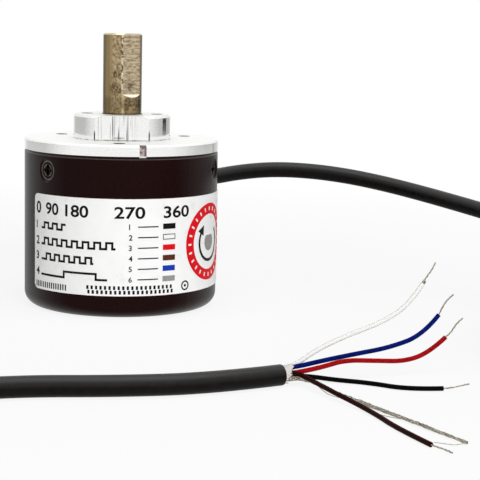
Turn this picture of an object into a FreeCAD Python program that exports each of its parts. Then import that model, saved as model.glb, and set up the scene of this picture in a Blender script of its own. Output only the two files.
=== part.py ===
"""Incremental rotary encoder: a solid 8 mm shaft in a 40 mm body, with a radial shielded cable."""
import FreeCAD, Part
import math
import os
from types import SimpleNamespace

import Sketcher

# Frame: millimetres, +Z up along the shaft, origin in the middle of the base, front at -Y.
# Angles are counted from the front towards +X. Pieces that follow the housing screws are drawn
# with the first screw at the front and the cable at the back, and are then turned by "clocking".

SIZES = [
    # Housing and flange
    ("body_dia", "40", "outside of housing and flange rim"),
    ("housing_height", "32", "base to the joint with the flange"),
    ("housing_wall", "2", "side wall of the housing"),
    ("floor_thickness", "2", "base of the housing"),
    ("base_round", "2.75", "rounding of the base edge"),
    ("mouth_edge", "0.2", "chamfer of the housing's mouth"),
    ("clocking", "-48", "angle of the first housing screw"),
    ("rim_height", "2.5", "flange rim above the housing"),
    ("rim_edge", "0.3", "chamfer of the rim"),
    ("boss_dia", "20", "pilot boss"),
    ("boss_height", "5", "pilot boss above the mounting face"),
    ("boss_edge", "0.5", "chamfer of the boss"),
    ("boss_flat", "8.4", "axis to the flat on the boss"),
    ("pin_hole_dia", "2.5", "spanner pin holes in the boss"),
    ("pin_hole_depth", "1.6", "spanner pin holes in the boss"),
    ("pin_hole_spacing", "14.4", "between the two spanner pin holes"),
    ("notch_width", "1.4", "notch in the rim"),
    ("notch_depth", "1", "notch in the rim"),
    ("notch_angle", "12", "place of the notch"),
    ("mount_pcd", "30", "pitch circle of the mounting holes"),
    ("mount_hole_dia", "2.5", "tapping size of the mounting holes"),
    ("mount_hole_depth", "5", "mounting holes"),
    ("mount_angle", "-2", "place of the first mounting hole"),
    ("spigot_length", "5.6", "flange spigot inside the housing"),
    ("spigot_wall", "5.15", "ring wall of the spigot"),
    ("spigot_clearance", "0.05", "slip of the spigot in the housing"),
    ("web_thickness", "3.5", "flange plate between spigot and bearing carrier"),
    ("carrier_wall", "2.2", "tube round the bearings"),
    ("carrier_lip", "0.8", "carrier below the retaining ring"),
    # Housing screws and seal ring
    ("screw_drop", "3.2", "housing screws below the joint"),
    ("screw_dia", "2", "thread of the housing screws"),
    ("screw_length", "5.5", "housing screws, head included"),
    ("screw_head_dia", "4", "countersunk head"),
    ("screw_sink", "0.35", "head below the housing's surface"),
    ("screw_play", "0.1", "hole over the screw, in diameter"),
    ("cross_width", "0.6", "blade of the cross recess"),
    ("cross_length", "2.4", "span of the cross recess"),
    ("cross_depth", "0.6", "depth of the cross recess"),
    ("oring_section", "1", "seal ring section"),
    ("oring_drop", "0.4", "groove below the joint"),
    ("oring_room", "0.2", "groove wider than the ring"),
    # Label
    ("label_start", "-59.3", "left end of the label"),
    ("label_span", "151.3", "angle that the label covers"),
    ("label_low", "4.7", "base to the label"),
    ("label_height", "19.3", "label"),
    ("label_thickness", "0.12", "label"),
    ("label_corner", "1.2", "rounded corners of the label"),
    # Shaft, seal and bearings
    ("shaft_dia", "8", "shaft"),
    ("shaft_reach", "16.5", "shaft above the boss"),
    ("shaft_edge", "0.3", "chamfer of the shaft"),
    ("relief_width", "0.6", "grinding groove below the free end"),
    ("relief_depth", "0.2", "grinding groove below the free end"),
    ("flat_depth", "0.6", "D-flat"),
    ("flat_length", "13", "D-flat"),
    ("flat_angle", "32", "direction that the D-flat faces"),
    ("seal_width", "1.5", "radial width of the shaft seal"),
    ("seal_height", "1.2", "shaft seal"),
    ("boss_lip", "0.6", "boss over the shaft seal"),
    ("seal_clearance", "0.05", "shaft seal round the shaft"),
    ("hole_clearance", "0.25", "boss lip round the shaft"),
    ("seal_gap", "0.5", "between seal and bearing"),
    ("bearing_dia", "14", "outside of the bearings"),
    ("bearing_width", "4", "bearings"),
    ("bearing_spread", "4", "between the two bearings"),
    ("ball_dia", "1.6", "bearing balls"),
    ("ball_count", "7", "balls in each bearing"),
    ("ball_clearance", "0.04", "raceway round the balls"),
    ("land_offset", "0.62", "pitch circle to the ring lands"),
    ("cage_wall", "0.5", "ball cage"),
    ("cage_rim", "0.3", "cage beside the pockets"),
    ("pocket_clearance", "0.08", "cage pockets round the balls"),
    ("shield_thickness", "0.25", "bearing shields"),
    ("shield_inset", "0.2", "shields below the bearing faces"),
    ("shield_gap", "0.15", "shields to the inner ring"),
    ("ring_thickness", "0.8", "retaining ring"),
    ("ring_groove", "0.45", "depth of the retaining ring's groove"),
    ("ring_depth", "1.5", "radial width of the retaining ring"),
    ("ring_gap", "40", "open angle of the retaining ring"),
    # Hub and code disc
    ("hub_gap", "0.6", "hub below the bearing carrier"),
    ("hub_wall", "3.2", "hub round the shaft"),
    ("hub_height", "4.6", "hub with the set screws"),
    ("grub_dia", "2", "hub set screws"),
    ("grub_length", "3", "hub set screws"),
    ("seat_height", "1.5", "plate that the disc sits on"),
    ("seat_width", "3", "plate beyond the disc's bore"),
    ("spigot_wall_hub", "1.5", "disc spigot round the shaft"),
    ("clamp_width", "2.5", "disc clamp ring"),
    ("clamp_height", "1", "disc clamp ring"),
    ("disc_thickness", "0.5", "code disc"),
    ("disc_gap", "3.7", "code disc to the housing's inside"),
    ("track_inset", "1.4", "disc's edge to the middle of the slits"),
    ("slit_count", "36", "slits in the code disc"),
    ("slit_length", "1.4", "slits, along the radius"),
    ("slit_width", "0.55", "slits, round the track"),
    ("index_step", "1.9", "slit track to the index slit"),
    # Light source
    ("holder_gap", "0.7", "holder above the disc"),
    ("holder_width", "11", "holder, along the rim"),
    ("holder_inset", "1.75", "slit track to the holder's inner face"),
    ("holder_wall", "0.6", "holder outside the emitter"),
    ("led_dia", "3", "light emitter and its lens"),
    ("led_height", "2.6", "light emitter"),
    ("led_dome", "0.75", "rounding of the emitter's end"),
    ("lens_height", "1.4", "collimator lens"),
    ("lens_crown", "0.5", "bulge of the lens"),
    ("lens_recess", "0.4", "lens above the holder's lower face"),
    ("lead_dia", "0.5", "emitter leads"),
    ("lead_pitch", "1.27", "between the emitter leads"),
    ("lead_rise", "1", "leads above the emitter, before they turn"),
    ("lead_gap", "0.3", "leads outside the holder"),
    ("holder_screw_dia", "1.6", "holder screws"),
    ("holder_screw_head", "2.8", "heads of the holder screws"),
    ("holder_screw_rise", "1", "heads of the holder screws"),
    ("holder_screw_room", "0.2", "counterbores over the heads, in diameter"),
    ("holder_screw_step", "0.7", "slit track to the holder screws"),
    ("holder_screw_pitch", "7.2", "between the holder screws"),
    ("holder_screw_bite", "2.4", "holder screws in the flange"),
    ("holder_screw_hold", "4.4", "holder between screw head and flange"),
    # Circuit board
    ("board_gap", "1.4", "board to the housing's inside"),
    ("board_thickness", "1.2", "circuit board"),
    ("reticle_gap", "0.4", "reticle below the disc"),
    ("reticle_thickness", "0.6", "reticle"),
    ("reticle_margin", "0.3", "detector beyond the reticle"),
    ("detector_height", "1.4", "photodetector"),
    ("detector_width", "5", "photodetector, along the rim"),
    ("detector_depth", "3.6", "photodetector, along the radius"),
    ("post_dia", "4.4", "board standoffs"),
    ("post_inset", "3.4", "board's edge to the standoffs"),
    ("post_angle", "90", "first standoff from the first housing screw"),
    ("board_screw_dia", "1.6", "board screws"),
    ("board_screw_head", "3.4", "heads of the board screws"),
    ("board_screw_rise", "1.1", "heads of the board screws"),
    ("board_screw_bite", "4", "board screws in the standoffs"),
    ("board_screw_play", "0.4", "board holes over the screws, in diameter"),
    ("chip_width", "3.9", "chips, across"),
    ("chip_height", "1.5", "chips"),
    ("driver_length", "8.6", "line driver chip"),
    ("comparator_length", "4.9", "comparator chip"),
    ("chip_offset", "4.4", "axis to the chips"),
    ("can_dia", "4", "capacitor cans"),
    ("can_height", "5", "capacitor cans"),
    ("can_spacing", "5.2", "between the capacitor cans"),
    ("can_offset", "9.6", "axis to the capacitor cans"),
    ("resistor_length", "2", "chip resistors"),
    ("resistor_width", "1.25", "chip resistors"),
    ("resistor_height", "0.6", "chip resistors"),
    ("resistor_pitch", "2.4", "between the chip resistors"),
    ("resistor_offset", "8.6", "axis to the chip resistors"),
    # Cable and its entry
    ("cable_dia", "3.5", "cable jacket"),
    ("cable_drop", "7.4", "cable entry below the joint"),
    ("entry_dia", "6", "hole for the grommet"),
    ("grommet_collar", "8", "outside collar of the grommet"),
    ("grommet_lip", "7.6", "inside lip of the grommet"),
    ("grommet_lip_thickness", "0.8", "inside lip of the grommet"),
    ("grommet_collar_thickness", "1.4", "outside collar of the grommet"),
    ("grommet_reach", "6", "grommet beyond the housing"),
    ("grommet_tip", "4.8", "thin end of the grommet"),
    ("relief_room", "0.4", "flange relief over the grommet"),
    ("ferrule_wall", "0.45", "crimp ferrule"),
    ("ferrule_length", "1.5", "crimp ferrule"),
    ("jacket_tail", "0.3", "jacket inside the ferrule"),
    ("lip_seat", "0.55", "lip below the inside of the wall"),
    ("wire_dia", "0.8", "insulated wires"),
    ("wire_ring", "0.95", "cable's middle to the outer wires"),
    ("pad_pitch", "1.28", "between the wires' pads on the board"),
    ("pigtail_low_run", "0.8", "lower wires straight out of the jacket"),
    ("pigtail_high_run", "2", "upper wires straight out of the jacket"),
    ("pigtail_end", "1.6", "wires straight down to the board"),
    ("tip_dia", "0.42", "bare wire ends"),
    ("tip_length", "4.5", "bare wire ends"),
    ("shield_dia", "0.9", "twisted shield"),
    ("wrap_reach", "1.3", "core wrap beyond the jacket"),
    ("wrap_dia", "3.2", "core wrap"),
    ("wrap_thickness", "0.12", "core wrap"),
    # Put-away coil
    ("coil_turn_count", "3", "turns beside each other"),
    ("coil_layer_count", "4", "turns on each other"),
    ("coil_mean_dia", "43", "coil at the middle of its turns"),
    ("coil_x", "95", "middle of the coil"),
    ("coil_y", "-65", "middle of the coil"),
    ("tie_thickness", "0.8", "coil ties"),
    ("tie_width", "3", "coil ties"),
    ("tie_slack", "0.1", "coil ties round the coil"),
    ("tie_angle", "20", "direction of the first coil tie"),
]


# Counts, and what the drawing itself needs
HOUSING_SCREWS = 3
MOUNT_HOLES = 3
STANDOFFS = 3
RESISTORS = 4
TIES = 2
CUT_MARGIN = 1
SAME = 1e-4
ARC_SHARE = 0.45
VOLUME_TOLERANCE = 0.02


class Size:
    """A number together with the sheet expression that it comes from."""

    def __init__(self, number, text):
        self.number = number
        self.text = text

    def joined(self, other, sign, result):
        return Size(result, f"({self.text} {sign} {as_size(other).text})")

    def __add__(self, other):
        return self.joined(other, "+", self.number + as_size(other).number)

    def __sub__(self, other):
        return self.joined(other, "-", self.number - as_size(other).number)

    def __mul__(self, other):
        return self.joined(other, "*", self.number * as_size(other).number)

    def __truediv__(self, other):
        return self.joined(other, "/", self.number / as_size(other).number)

    def __neg__(self):
        return Size(-self.number, f"(0 - {self.text})")


def as_size(amount):
    """Plain numbers join in where a size is asked for."""
    if isinstance(amount, Size):
        return amount
    return Size(float(amount), f"({float(amount)!r})")


doc = FreeCAD.newDocument("rotary_encoder")
sheet = doc.addObject("Spreadsheet::Sheet", "Sizes")
for row, (alias, text, meaning) in enumerate(SIZES, start=1):
    sheet.set(f"A{row}", meaning)
    sheet.set(f"B{row}", text)
    sheet.setAlias(f"B{row}", alias)
doc.recompute()
size = SimpleNamespace(**{alias: Size(float(text), f"Sizes.{alias}") for alias, text, _ in SIZES})
pieces = []

# Radii that several pieces share
body_r = size.body_dia / 2
bore_r = body_r - size.housing_wall
spigot_r = bore_r - size.spigot_clearance
spigot_bore_r = spigot_r - size.spigot_wall
boss_r = size.boss_dia / 2
shaft_r = size.shaft_dia / 2
bearing_r = size.bearing_dia / 2
carrier_r = bearing_r + size.carrier_wall
seal_r = shaft_r + size.seal_width
pitch_r = (shaft_r + bearing_r) / 2
outer_land_r = pitch_r + size.land_offset
inner_land_r = pitch_r - size.land_offset
disc_bore_r = shaft_r + size.spigot_wall_hub
hub_r = shaft_r + size.hub_wall
disc_r = bore_r - size.disc_gap
track_r = disc_r - size.track_inset
led_r = size.led_dia / 2
holder_outer_r = track_r + led_r + size.holder_wall
holder_screw_r = track_r + size.holder_screw_step
lead_r = holder_outer_r + size.lead_gap + size.lead_dia / 2
board_r = bore_r - size.board_gap
post_r = board_r - size.post_inset
cable_r = size.cable_dia / 2

# Heights that several pieces share
joint_z = size.housing_height
face_z = joint_z + size.rim_height
boss_z = face_z + size.boss_height
shaft_z = boss_z + size.shaft_reach
seal_top_z = boss_z - size.boss_lip
seal_z = seal_top_z - size.seal_height
front_top_z = seal_z - size.seal_gap
front_low_z = front_top_z - size.bearing_width
rear_top_z = front_low_z - size.bearing_spread
rear_low_z = rear_top_z - size.bearing_width
ring_low_z = rear_low_z - size.ring_thickness
carrier_low_z = ring_low_z - size.carrier_lip
hub_z = carrier_low_z - size.hub_gap
seat_z = hub_z - size.hub_height
disc_z = seat_z - size.seat_height
disc_low_z = disc_z - size.disc_thickness
clamp_low_z = disc_low_z - size.clamp_height
reticle_z = disc_low_z - size.reticle_gap
detector_z = reticle_z - size.reticle_thickness
board_z = detector_z - size.detector_height
board_low_z = board_z - size.board_thickness
spigot_low_z = joint_z - size.spigot_length
web_low_z = face_z - size.web_thickness
screw_z = joint_z - size.screw_drop
cable_z = joint_z - size.cable_drop
holder_low_z = disc_z + size.holder_gap
holder_ledge_z = spigot_low_z - size.holder_screw_hold
lens_z = holder_low_z + size.lens_recess
led_z = lens_z + size.lens_height
led_top_z = led_z + size.led_height
coil_low_z = size.tie_thickness


def bind(thing, path, amount):
    """Tie one property to the sheet."""
    thing.setExpression(path, as_size(amount).text)


def new_body(label, clocked=False):
    """Empty body for one piece."""
    body = doc.addObject("PartDesign::Body", label)
    body.Label = label
    if clocked:
        bind(body, "Placement.Rotation.Angle", size.clocking)
    pieces.append(body)
    return body


def origin_of(body, role):
    """Origin plane or axis of a body."""
    return next(item for item in body.Origin.OriginFeatures if item.Role == role)


def sketch_on(body, plane, base=(0, 0, 0), turn=None):
    """Sketch on an origin plane, shifted and turned within that plane."""
    sketch = body.newObject("Sketcher::SketchObject", f"{body.Name}_sketch")
    sketch.AttachmentSupport = [(origin_of(body, plane), "")]
    sketch.MapMode = "FlatFace"
    for axis, amount in zip("xyz", base):
        if isinstance(amount, Size):
            bind(sketch, f"AttachmentOffset.Base.{axis}", amount)
    if turn is not None:
        bind(sketch, "AttachmentOffset.Rotation.Angle", turn)
    return sketch


def hold(sketch, kind, place, amount):
    """Dimension from the sketch's origin to a point, read from the sheet."""
    curve, point = place
    amount = as_size(amount)
    index = sketch.addConstraint(Sketcher.Constraint(kind, -1, 1, curve, point, amount.number))
    sketch.setExpression(f"Constraints[{index}]", amount.text)


def outline(sketch, corners):
    """Closed run of straight lines whose corners are dimensioned from both axes."""
    points = [FreeCAD.Vector(as_size(x).number, as_size(y).number, 0) for x, y in corners]
    following = points[1:] + points[:1]
    lines = [sketch.addGeometry(Part.LineSegment(*ends), False) for ends in zip(points, following)]
    for line, following_line in zip(lines, lines[1:] + lines[:1]):
        sketch.addConstraint(Sketcher.Constraint("Coincident", line, 2, following_line, 1))
    for line, (x, y) in zip(lines, corners):
        hold(sketch, "DistanceX", (line, 1), x)
        hold(sketch, "DistanceY", (line, 1), y)
    return sketch


def rectangle(sketch, x_low, x_high, y_low, y_high):
    """Upright rectangle."""
    return outline(sketch, [(x_low, y_low), (x_high, y_low), (x_high, y_high), (x_low, y_high)])


def circle(sketch, radius, x=0, y=0):
    """Dimensioned circle."""
    centre = FreeCAD.Vector(as_size(x).number, as_size(y).number, 0)
    curve = sketch.addGeometry(Part.Circle(centre, FreeCAD.Vector(0, 0, 1), radius.number), False)
    index = sketch.addConstraint(Sketcher.Constraint("Radius", curve, radius.number))
    sketch.setExpression(f"Constraints[{index}]", radius.text)
    hold(sketch, "DistanceX", (curve, 3), x)
    hold(sketch, "DistanceY", (curve, 3), y)
    return sketch


def feature(body, kind, sketch, **settings):
    """PartDesign feature from a sketch; sizes are bound, the rest is set."""
    made = body.newObject(f"PartDesign::{kind}", f"{body.Name}_{kind}")
    made.Profile = sketch
    for name, setting in settings.items():
        if isinstance(setting, Size):
            bind(made, name, setting)
        else:
            setattr(made, name, setting)
    body.Tip = made
    doc.recompute()
    return made


def revolve(body, sketch, axis="V_Axis", kind="Revolution", **settings):
    """Turned solid, or turned cut with kind Groove."""
    return feature(body, kind, sketch, ReferenceAxis=(sketch, [axis]), **settings)


def turned(label, corners, clocked=False):
    """Piece turned about the shaft's axis from corners of radius and height."""
    body = new_body(label, clocked)
    revolve(body, outline(sketch_on(body, "XZ_Plane"), corners))
    return body


def ring_corners(inner, outer, low, high):
    """Section of a plain ring."""
    return [(inner, low), (outer, low), (outer, high), (inner, high)]


def polar(body, original, count):
    """Repeat a feature evenly round the shaft's axis."""
    made = body.newObject("PartDesign::PolarPattern", f"{body.Name}_pattern")
    made.Originals = [original]
    made.Axis = (origin_of(body, "Z_Axis"), [""])
    made.Angle = 360
    bind(made, "Occurrences", count)
    body.Tip = made
    doc.recompute()
    return made


def dressed(body, kind, amount, chosen):
    """Fillet or chamfer on the edges of the body's tip that a test picks."""
    base = body.Tip
    names = [f"Edge{n}" for n, edge in enumerate(base.Shape.Edges, start=1) if chosen(edge)]
    made = body.newObject(f"PartDesign::{kind}", f"{body.Name}_{kind}")
    made.Base = (base, names)
    bind(made, "Radius" if kind == "Fillet" else "Size", amount)
    body.Tip = made
    doc.recompute()
    return made


def level(edge, height):
    """True for an edge that lies flat at a height."""
    box = edge.BoundBox
    return abs(box.ZMin - height.number) < SAME and abs(box.ZMax - height.number) < SAME


def make_housing():
    """Cup with a rounded base edge, countersunk screw holes and the cable entry."""
    body = turned("housing", [
        (0, 0), (body_r, 0), (body_r, joint_z - size.mouth_edge), (body_r - size.mouth_edge, joint_z),
        (bore_r, joint_z),
        (bore_r, size.floor_thickness), (0, size.floor_thickness)], clocked=True)
    dressed(body, "Fillet", size.base_round, lambda edge: level(edge, as_size(0)))
    hole_r = (size.screw_dia + size.screw_play) / 2
    head_r = size.screw_head_dia / 2
    seat = body_r - size.screw_sink
    sketch = sketch_on(body, "YZ_Plane", (0, screw_z, 0))
    outline(sketch, [
        (-body_r - CUT_MARGIN, 0), (-body_r - CUT_MARGIN, head_r + size.screw_sink + CUT_MARGIN),
        (-seat + head_r - hole_r, hole_r), (-bore_r + CUT_MARGIN, hole_r), (-bore_r + CUT_MARGIN, 0)])
    polar(body, revolve(body, sketch, "H_Axis", "Groove"), HOUSING_SCREWS)
    entry = sketch_on(body, "XZ_Plane", (0, 0, -bore_r + CUT_MARGIN))
    circle(entry, size.entry_dia / 2, 0, cable_z)
    feature(body, "Pocket", entry, Length=size.housing_wall + CUT_MARGIN * 2)


def make_housing_screws():
    """Three countersunk screws with cross recesses, pointing at the axis."""
    body = new_body("housing_screws", clocked=True)
    head_r = size.screw_head_dia / 2
    thread_r = size.screw_dia / 2
    seat = body_r - size.screw_sink
    sketch = sketch_on(body, "YZ_Plane", (0, screw_z, 0))
    outline(sketch, [
        (-seat, 0), (-seat, head_r), (-seat + head_r - thread_r, thread_r),
        (-seat + size.screw_length, thread_r), (-seat + size.screw_length, 0)])
    screw = revolve(body, sketch, "H_Axis")
    slots = []
    for long_x, long_y in ((size.cross_length, size.cross_width), (size.cross_width, size.cross_length)):
        blade = sketch_on(body, "XZ_Plane", (0, screw_z, seat))
        rectangle(blade, -long_x / 2, long_x / 2, -long_y / 2, long_y / 2)
        slots.append(feature(body, "Pocket", blade, Length=size.cross_depth))
    pattern = polar(body, screw, HOUSING_SCREWS)
    pattern.Originals = [screw] + slots


def make_label():
    """Sticker round the front of the housing."""
    body = new_body("label")
    sketch = sketch_on(body, "XZ_Plane")
    outline(sketch, ring_corners(body_r, body_r + size.label_thickness,
                                 size.label_low, size.label_low + size.label_height))
    revolve(body, sketch, Angle=size.label_span)
    bind(body, "Placement.Rotation.Angle", size.label_start - 90)
    thickness = size.label_thickness.number
    dressed(body, "Fillet", size.label_corner, lambda edge: abs(edge.Length - thickness) < SAME)


def make_flange():
    """Machined front: rim, pilot boss, bearing carrier and spigot in one turned piece."""
    groove_z = joint_z - size.oring_drop
    groove_low_z = groove_z - size.oring_section - size.oring_room
    groove_r = bore_r - size.oring_section
    ring_r = bearing_r + size.ring_groove
    hole_r = shaft_r + size.hole_clearance
    body = turned("flange", [
        (hole_r, boss_z), (boss_r - size.boss_edge, boss_z), (boss_r, boss_z - size.boss_edge),
        (boss_r, face_z), (body_r - size.rim_edge, face_z), (body_r, face_z - size.rim_edge),
        (body_r, joint_z + size.rim_edge), (body_r - size.rim_edge, joint_z),
        (spigot_r, joint_z), (spigot_r, groove_z), (groove_r, groove_z),
        (groove_r, groove_low_z), (spigot_r, groove_low_z), (spigot_r, spigot_low_z),
        (spigot_bore_r, spigot_low_z), (spigot_bore_r, web_low_z), (carrier_r, web_low_z),
        (carrier_r, carrier_low_z), (bearing_r, carrier_low_z), (bearing_r, ring_low_z),
        (ring_r, ring_low_z), (ring_r, rear_low_z), (bearing_r, rear_low_z),
        (bearing_r, front_top_z), (seal_r, front_top_z), (seal_r, seal_top_z), (hole_r, seal_top_z)],
        clocked=True)
    to_front = -size.clocking
    flat = sketch_on(body, "XY_Plane", (0, 0, boss_z), to_front)
    rectangle(flat, -boss_r, boss_r, -boss_r, -size.boss_flat)
    feature(body, "Pocket", flat, Length=size.boss_height)
    pins = sketch_on(body, "XY_Plane", (0, 0, boss_z), to_front)
    circle(pins, size.pin_hole_dia / 2, -size.pin_hole_spacing / 2)
    circle(pins, size.pin_hole_dia / 2, size.pin_hole_spacing / 2)
    feature(body, "Pocket", pins, Length=size.pin_hole_depth)
    notch = sketch_on(body, "XY_Plane", (0, 0, face_z), to_front + size.notch_angle)
    half_notch = size.notch_width / 2
    rectangle(notch, -half_notch, half_notch, -body_r - CUT_MARGIN, -body_r + size.notch_depth)
    feature(body, "Pocket", notch, Length=size.rim_height)
    mount = sketch_on(body, "XY_Plane", (0, 0, face_z), to_front + size.mount_angle)
    circle(mount, size.mount_hole_dia / 2, 0, -size.mount_pcd / 2)
    polar(body, feature(body, "Pocket", mount, Length=size.mount_hole_depth), MOUNT_HOLES)
    tapped = sketch_on(body, "YZ_Plane", (0, screw_z, 0))
    screw_end = -body_r + size.screw_sink + size.screw_length
    rectangle(tapped, -spigot_r - CUT_MARGIN, screw_end, 0, size.screw_dia / 2)
    polar(body, revolve(body, tapped, "H_Axis", "Groove"), HOUSING_SCREWS)
    half = size.grommet_lip / 2 + size.relief_room
    relief = sketch_on(body, "XZ_Plane", (0, 0, -carrier_r))
    rectangle(relief, -half, half, cable_z - half, cable_z + half)
    feature(body, "Pocket", relief, Length=body_r - carrier_r)
    holes = sketch_on(body, "XY_Plane", (0, 0, spigot_low_z))
    for side in (-1, 1):
        circle(holes, size.holder_screw_dia / 2, size.holder_screw_pitch / 2 * side, -holder_screw_r)
    feature(body, "Pocket", holes, Reversed=True, Length=size.holder_screw_bite)


def make_oring():
    """Seal ring between the spigot's groove and the housing."""
    body = new_body("o_ring")
    ring = body.newObject("PartDesign::AdditiveTorus", "o_ring_torus")
    bind(ring, "Radius1", bore_r - size.oring_section / 2)
    bind(ring, "Radius2", size.oring_section / 2)
    bind(ring, "Placement.Base.z", joint_z - size.oring_drop - (size.oring_section + size.oring_room) / 2)
    body.Tip = ring


def make_shaft():
    """Shaft with a D-flat, and a collar that keeps the bearings' inner rings apart."""
    relief_z = boss_z - size.relief_width
    relief_r = shaft_r - size.relief_depth
    flat_low_z = shaft_z - size.flat_length
    slope_z = flat_low_z + size.flat_depth
    flat_y = -shaft_r + size.flat_depth
    body = turned("shaft", [
        (0, clamp_low_z), (shaft_r, clamp_low_z), (shaft_r, rear_top_z), (inner_land_r, rear_top_z),
        (inner_land_r, front_low_z), (shaft_r, front_low_z), (shaft_r, relief_z), (relief_r, relief_z),
        (relief_r, boss_z), (shaft_r, boss_z), (shaft_r, slope_z), (0, slope_z)])
    # Not refined, so that the round stretch and the D-shaped one keep a wall each
    end = outline(sketch_on(body, "XZ_Plane"), [
        (0, slope_z), (shaft_r, slope_z), (shaft_r, shaft_z - size.shaft_edge),
        (shaft_r - size.shaft_edge, shaft_z), (0, shaft_z)])
    revolve(body, end, Refine=False)
    # The cutter leaves a slope at the foot of the flat
    flat = outline(sketch_on(body, "YZ_Plane", (0, 0, shaft_r)), [
        (-shaft_r - CUT_MARGIN, flat_low_z), (-shaft_r, flat_low_z), (flat_y, slope_z),
        (flat_y, shaft_z), (-shaft_r - CUT_MARGIN, shaft_z)])
    feature(body, "Pocket", flat, Length=size.shaft_dia, Refine=False)
    bind(body, "Placement.Rotation.Angle", size.flat_angle)


def make_bearing(side, low_z):
    """Deep-groove ball bearing as its separate pieces."""
    high_z = low_z + size.bearing_width
    middle_z = low_z + size.bearing_width / 2
    sections = {
        "outer_ring": ring_corners(outer_land_r, bearing_r, low_z, high_z),
        "inner_ring": ring_corners(shaft_r, inner_land_r, low_z, high_z),
    }
    for name, corners in sections.items():
        body = turned(f"{side}_bearing_{name}", corners)
        raceway = body.newObject("PartDesign::SubtractiveTorus", f"{body.Name}_raceway")
        bind(raceway, "Radius1", pitch_r)
        bind(raceway, "Radius2", size.ball_dia / 2 + size.ball_clearance)
        bind(raceway, "Placement.Base.z", middle_z)
        body.Tip = raceway
    pocket_r = size.ball_dia / 2 + size.pocket_clearance
    half_wall = size.cage_wall / 2
    half_height = pocket_r + size.cage_rim
    cage = turned(f"{side}_bearing_cage", ring_corners(
        pitch_r - half_wall, pitch_r + half_wall, middle_z - half_height, middle_z + half_height))
    pocket = circle(sketch_on(cage, "XZ_Plane"), pocket_r, 0, middle_z)
    polar(cage, feature(cage, "Pocket", pocket, Length=pitch_r + size.cage_wall), size.ball_count)
    balls = new_body(f"{side}_bearing_balls")
    ball = balls.newObject("PartDesign::AdditiveSphere", f"{side}_ball")
    bind(ball, "Radius", size.ball_dia / 2)
    bind(ball, "Placement.Base.y", pitch_r)
    bind(ball, "Placement.Base.z", middle_z)
    polar(balls, ball, size.ball_count)
    shields = new_body(f"{side}_bearing_shields")
    inset_low = low_z + size.shield_inset
    inset_high = high_z - size.shield_inset - size.shield_thickness
    shield_bore_r = inner_land_r + size.shield_gap
    for start in (inset_low, inset_high):
        corners = ring_corners(shield_bore_r, outer_land_r, start, start + size.shield_thickness)
        revolve(shields, outline(sketch_on(shields, "XZ_Plane"), corners))


def make_bearing_fittings():
    """Shaft seal, outer spacer and retaining ring."""
    seal_bore_r = shaft_r + size.seal_clearance
    turned("shaft_seal", ring_corners(seal_bore_r, seal_r, seal_z, seal_z + size.seal_height))
    turned("bearing_spacer", ring_corners(outer_land_r, bearing_r, rear_top_z, front_low_z))
    body = new_body("bore_retaining_ring")
    outer = bearing_r + size.ring_groove
    sketch = outline(sketch_on(body, "XZ_Plane"),
                     ring_corners(outer - size.ring_depth, outer, ring_low_z, rear_low_z))
    revolve(body, sketch, Angle=-size.ring_gap + 360)


def make_hub():
    """Hub that carries the code disc, with two set screws."""
    body = turned("disc_hub", [
        (shaft_r, clamp_low_z), (disc_bore_r, clamp_low_z), (disc_bore_r, disc_z),
        (disc_bore_r + size.seat_width, disc_z), (disc_bore_r + size.seat_width, seat_z),
        (hub_r, seat_z), (hub_r, hub_z), (inner_land_r, hub_z), (inner_land_r, rear_low_z),
        (shaft_r, rear_low_z)])
    grub_z = (seat_z + hub_z) / 2
    grub_r = size.grub_dia / 2
    cross = circle(sketch_on(body, "XZ_Plane"), grub_r, 0, grub_z)
    feature(body, "Pocket", cross, Length=hub_r + CUT_MARGIN)
    side = circle(sketch_on(body, "YZ_Plane"), grub_r, 0, grub_z)
    feature(body, "Pocket", side, Length=hub_r + CUT_MARGIN)
    screws = new_body("hub_set_screws")
    front = circle(sketch_on(screws, "XZ_Plane", (0, 0, -shaft_r)), grub_r, 0, grub_z)
    feature(screws, "Pad", front, Length=size.grub_length, Reversed=True)
    right = circle(sketch_on(screws, "YZ_Plane", (0, 0, -shaft_r)), grub_r, 0, grub_z)
    feature(screws, "Pad", right, Length=size.grub_length, Reversed=True)


def make_code_disc():
    """Slotted disc, with far fewer slits than the real one, and the ring that clamps it."""
    body = turned("code_disc", ring_corners(disc_bore_r, disc_r, disc_low_z, disc_z))
    half_width = size.slit_width / 2
    half_length = size.slit_length / 2
    slit = sketch_on(body, "XY_Plane", (0, 0, disc_z))
    rectangle(slit, -half_width, half_width, -track_r - half_length, -track_r + half_length)
    polar(body, feature(body, "Pocket", slit, Length=size.disc_thickness), size.slit_count)
    index = sketch_on(body, "XY_Plane", (0, 0, disc_z))
    index_r = track_r - size.index_step
    rectangle(index, -half_width, half_width, -index_r - half_length / 2, -index_r + half_length / 2)
    feature(body, "Pocket", index, Length=size.disc_thickness)
    clamp_r = disc_bore_r + size.clamp_width
    turned("disc_clamp_ring", ring_corners(disc_bore_r, clamp_r, clamp_low_z, disc_low_z))


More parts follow.
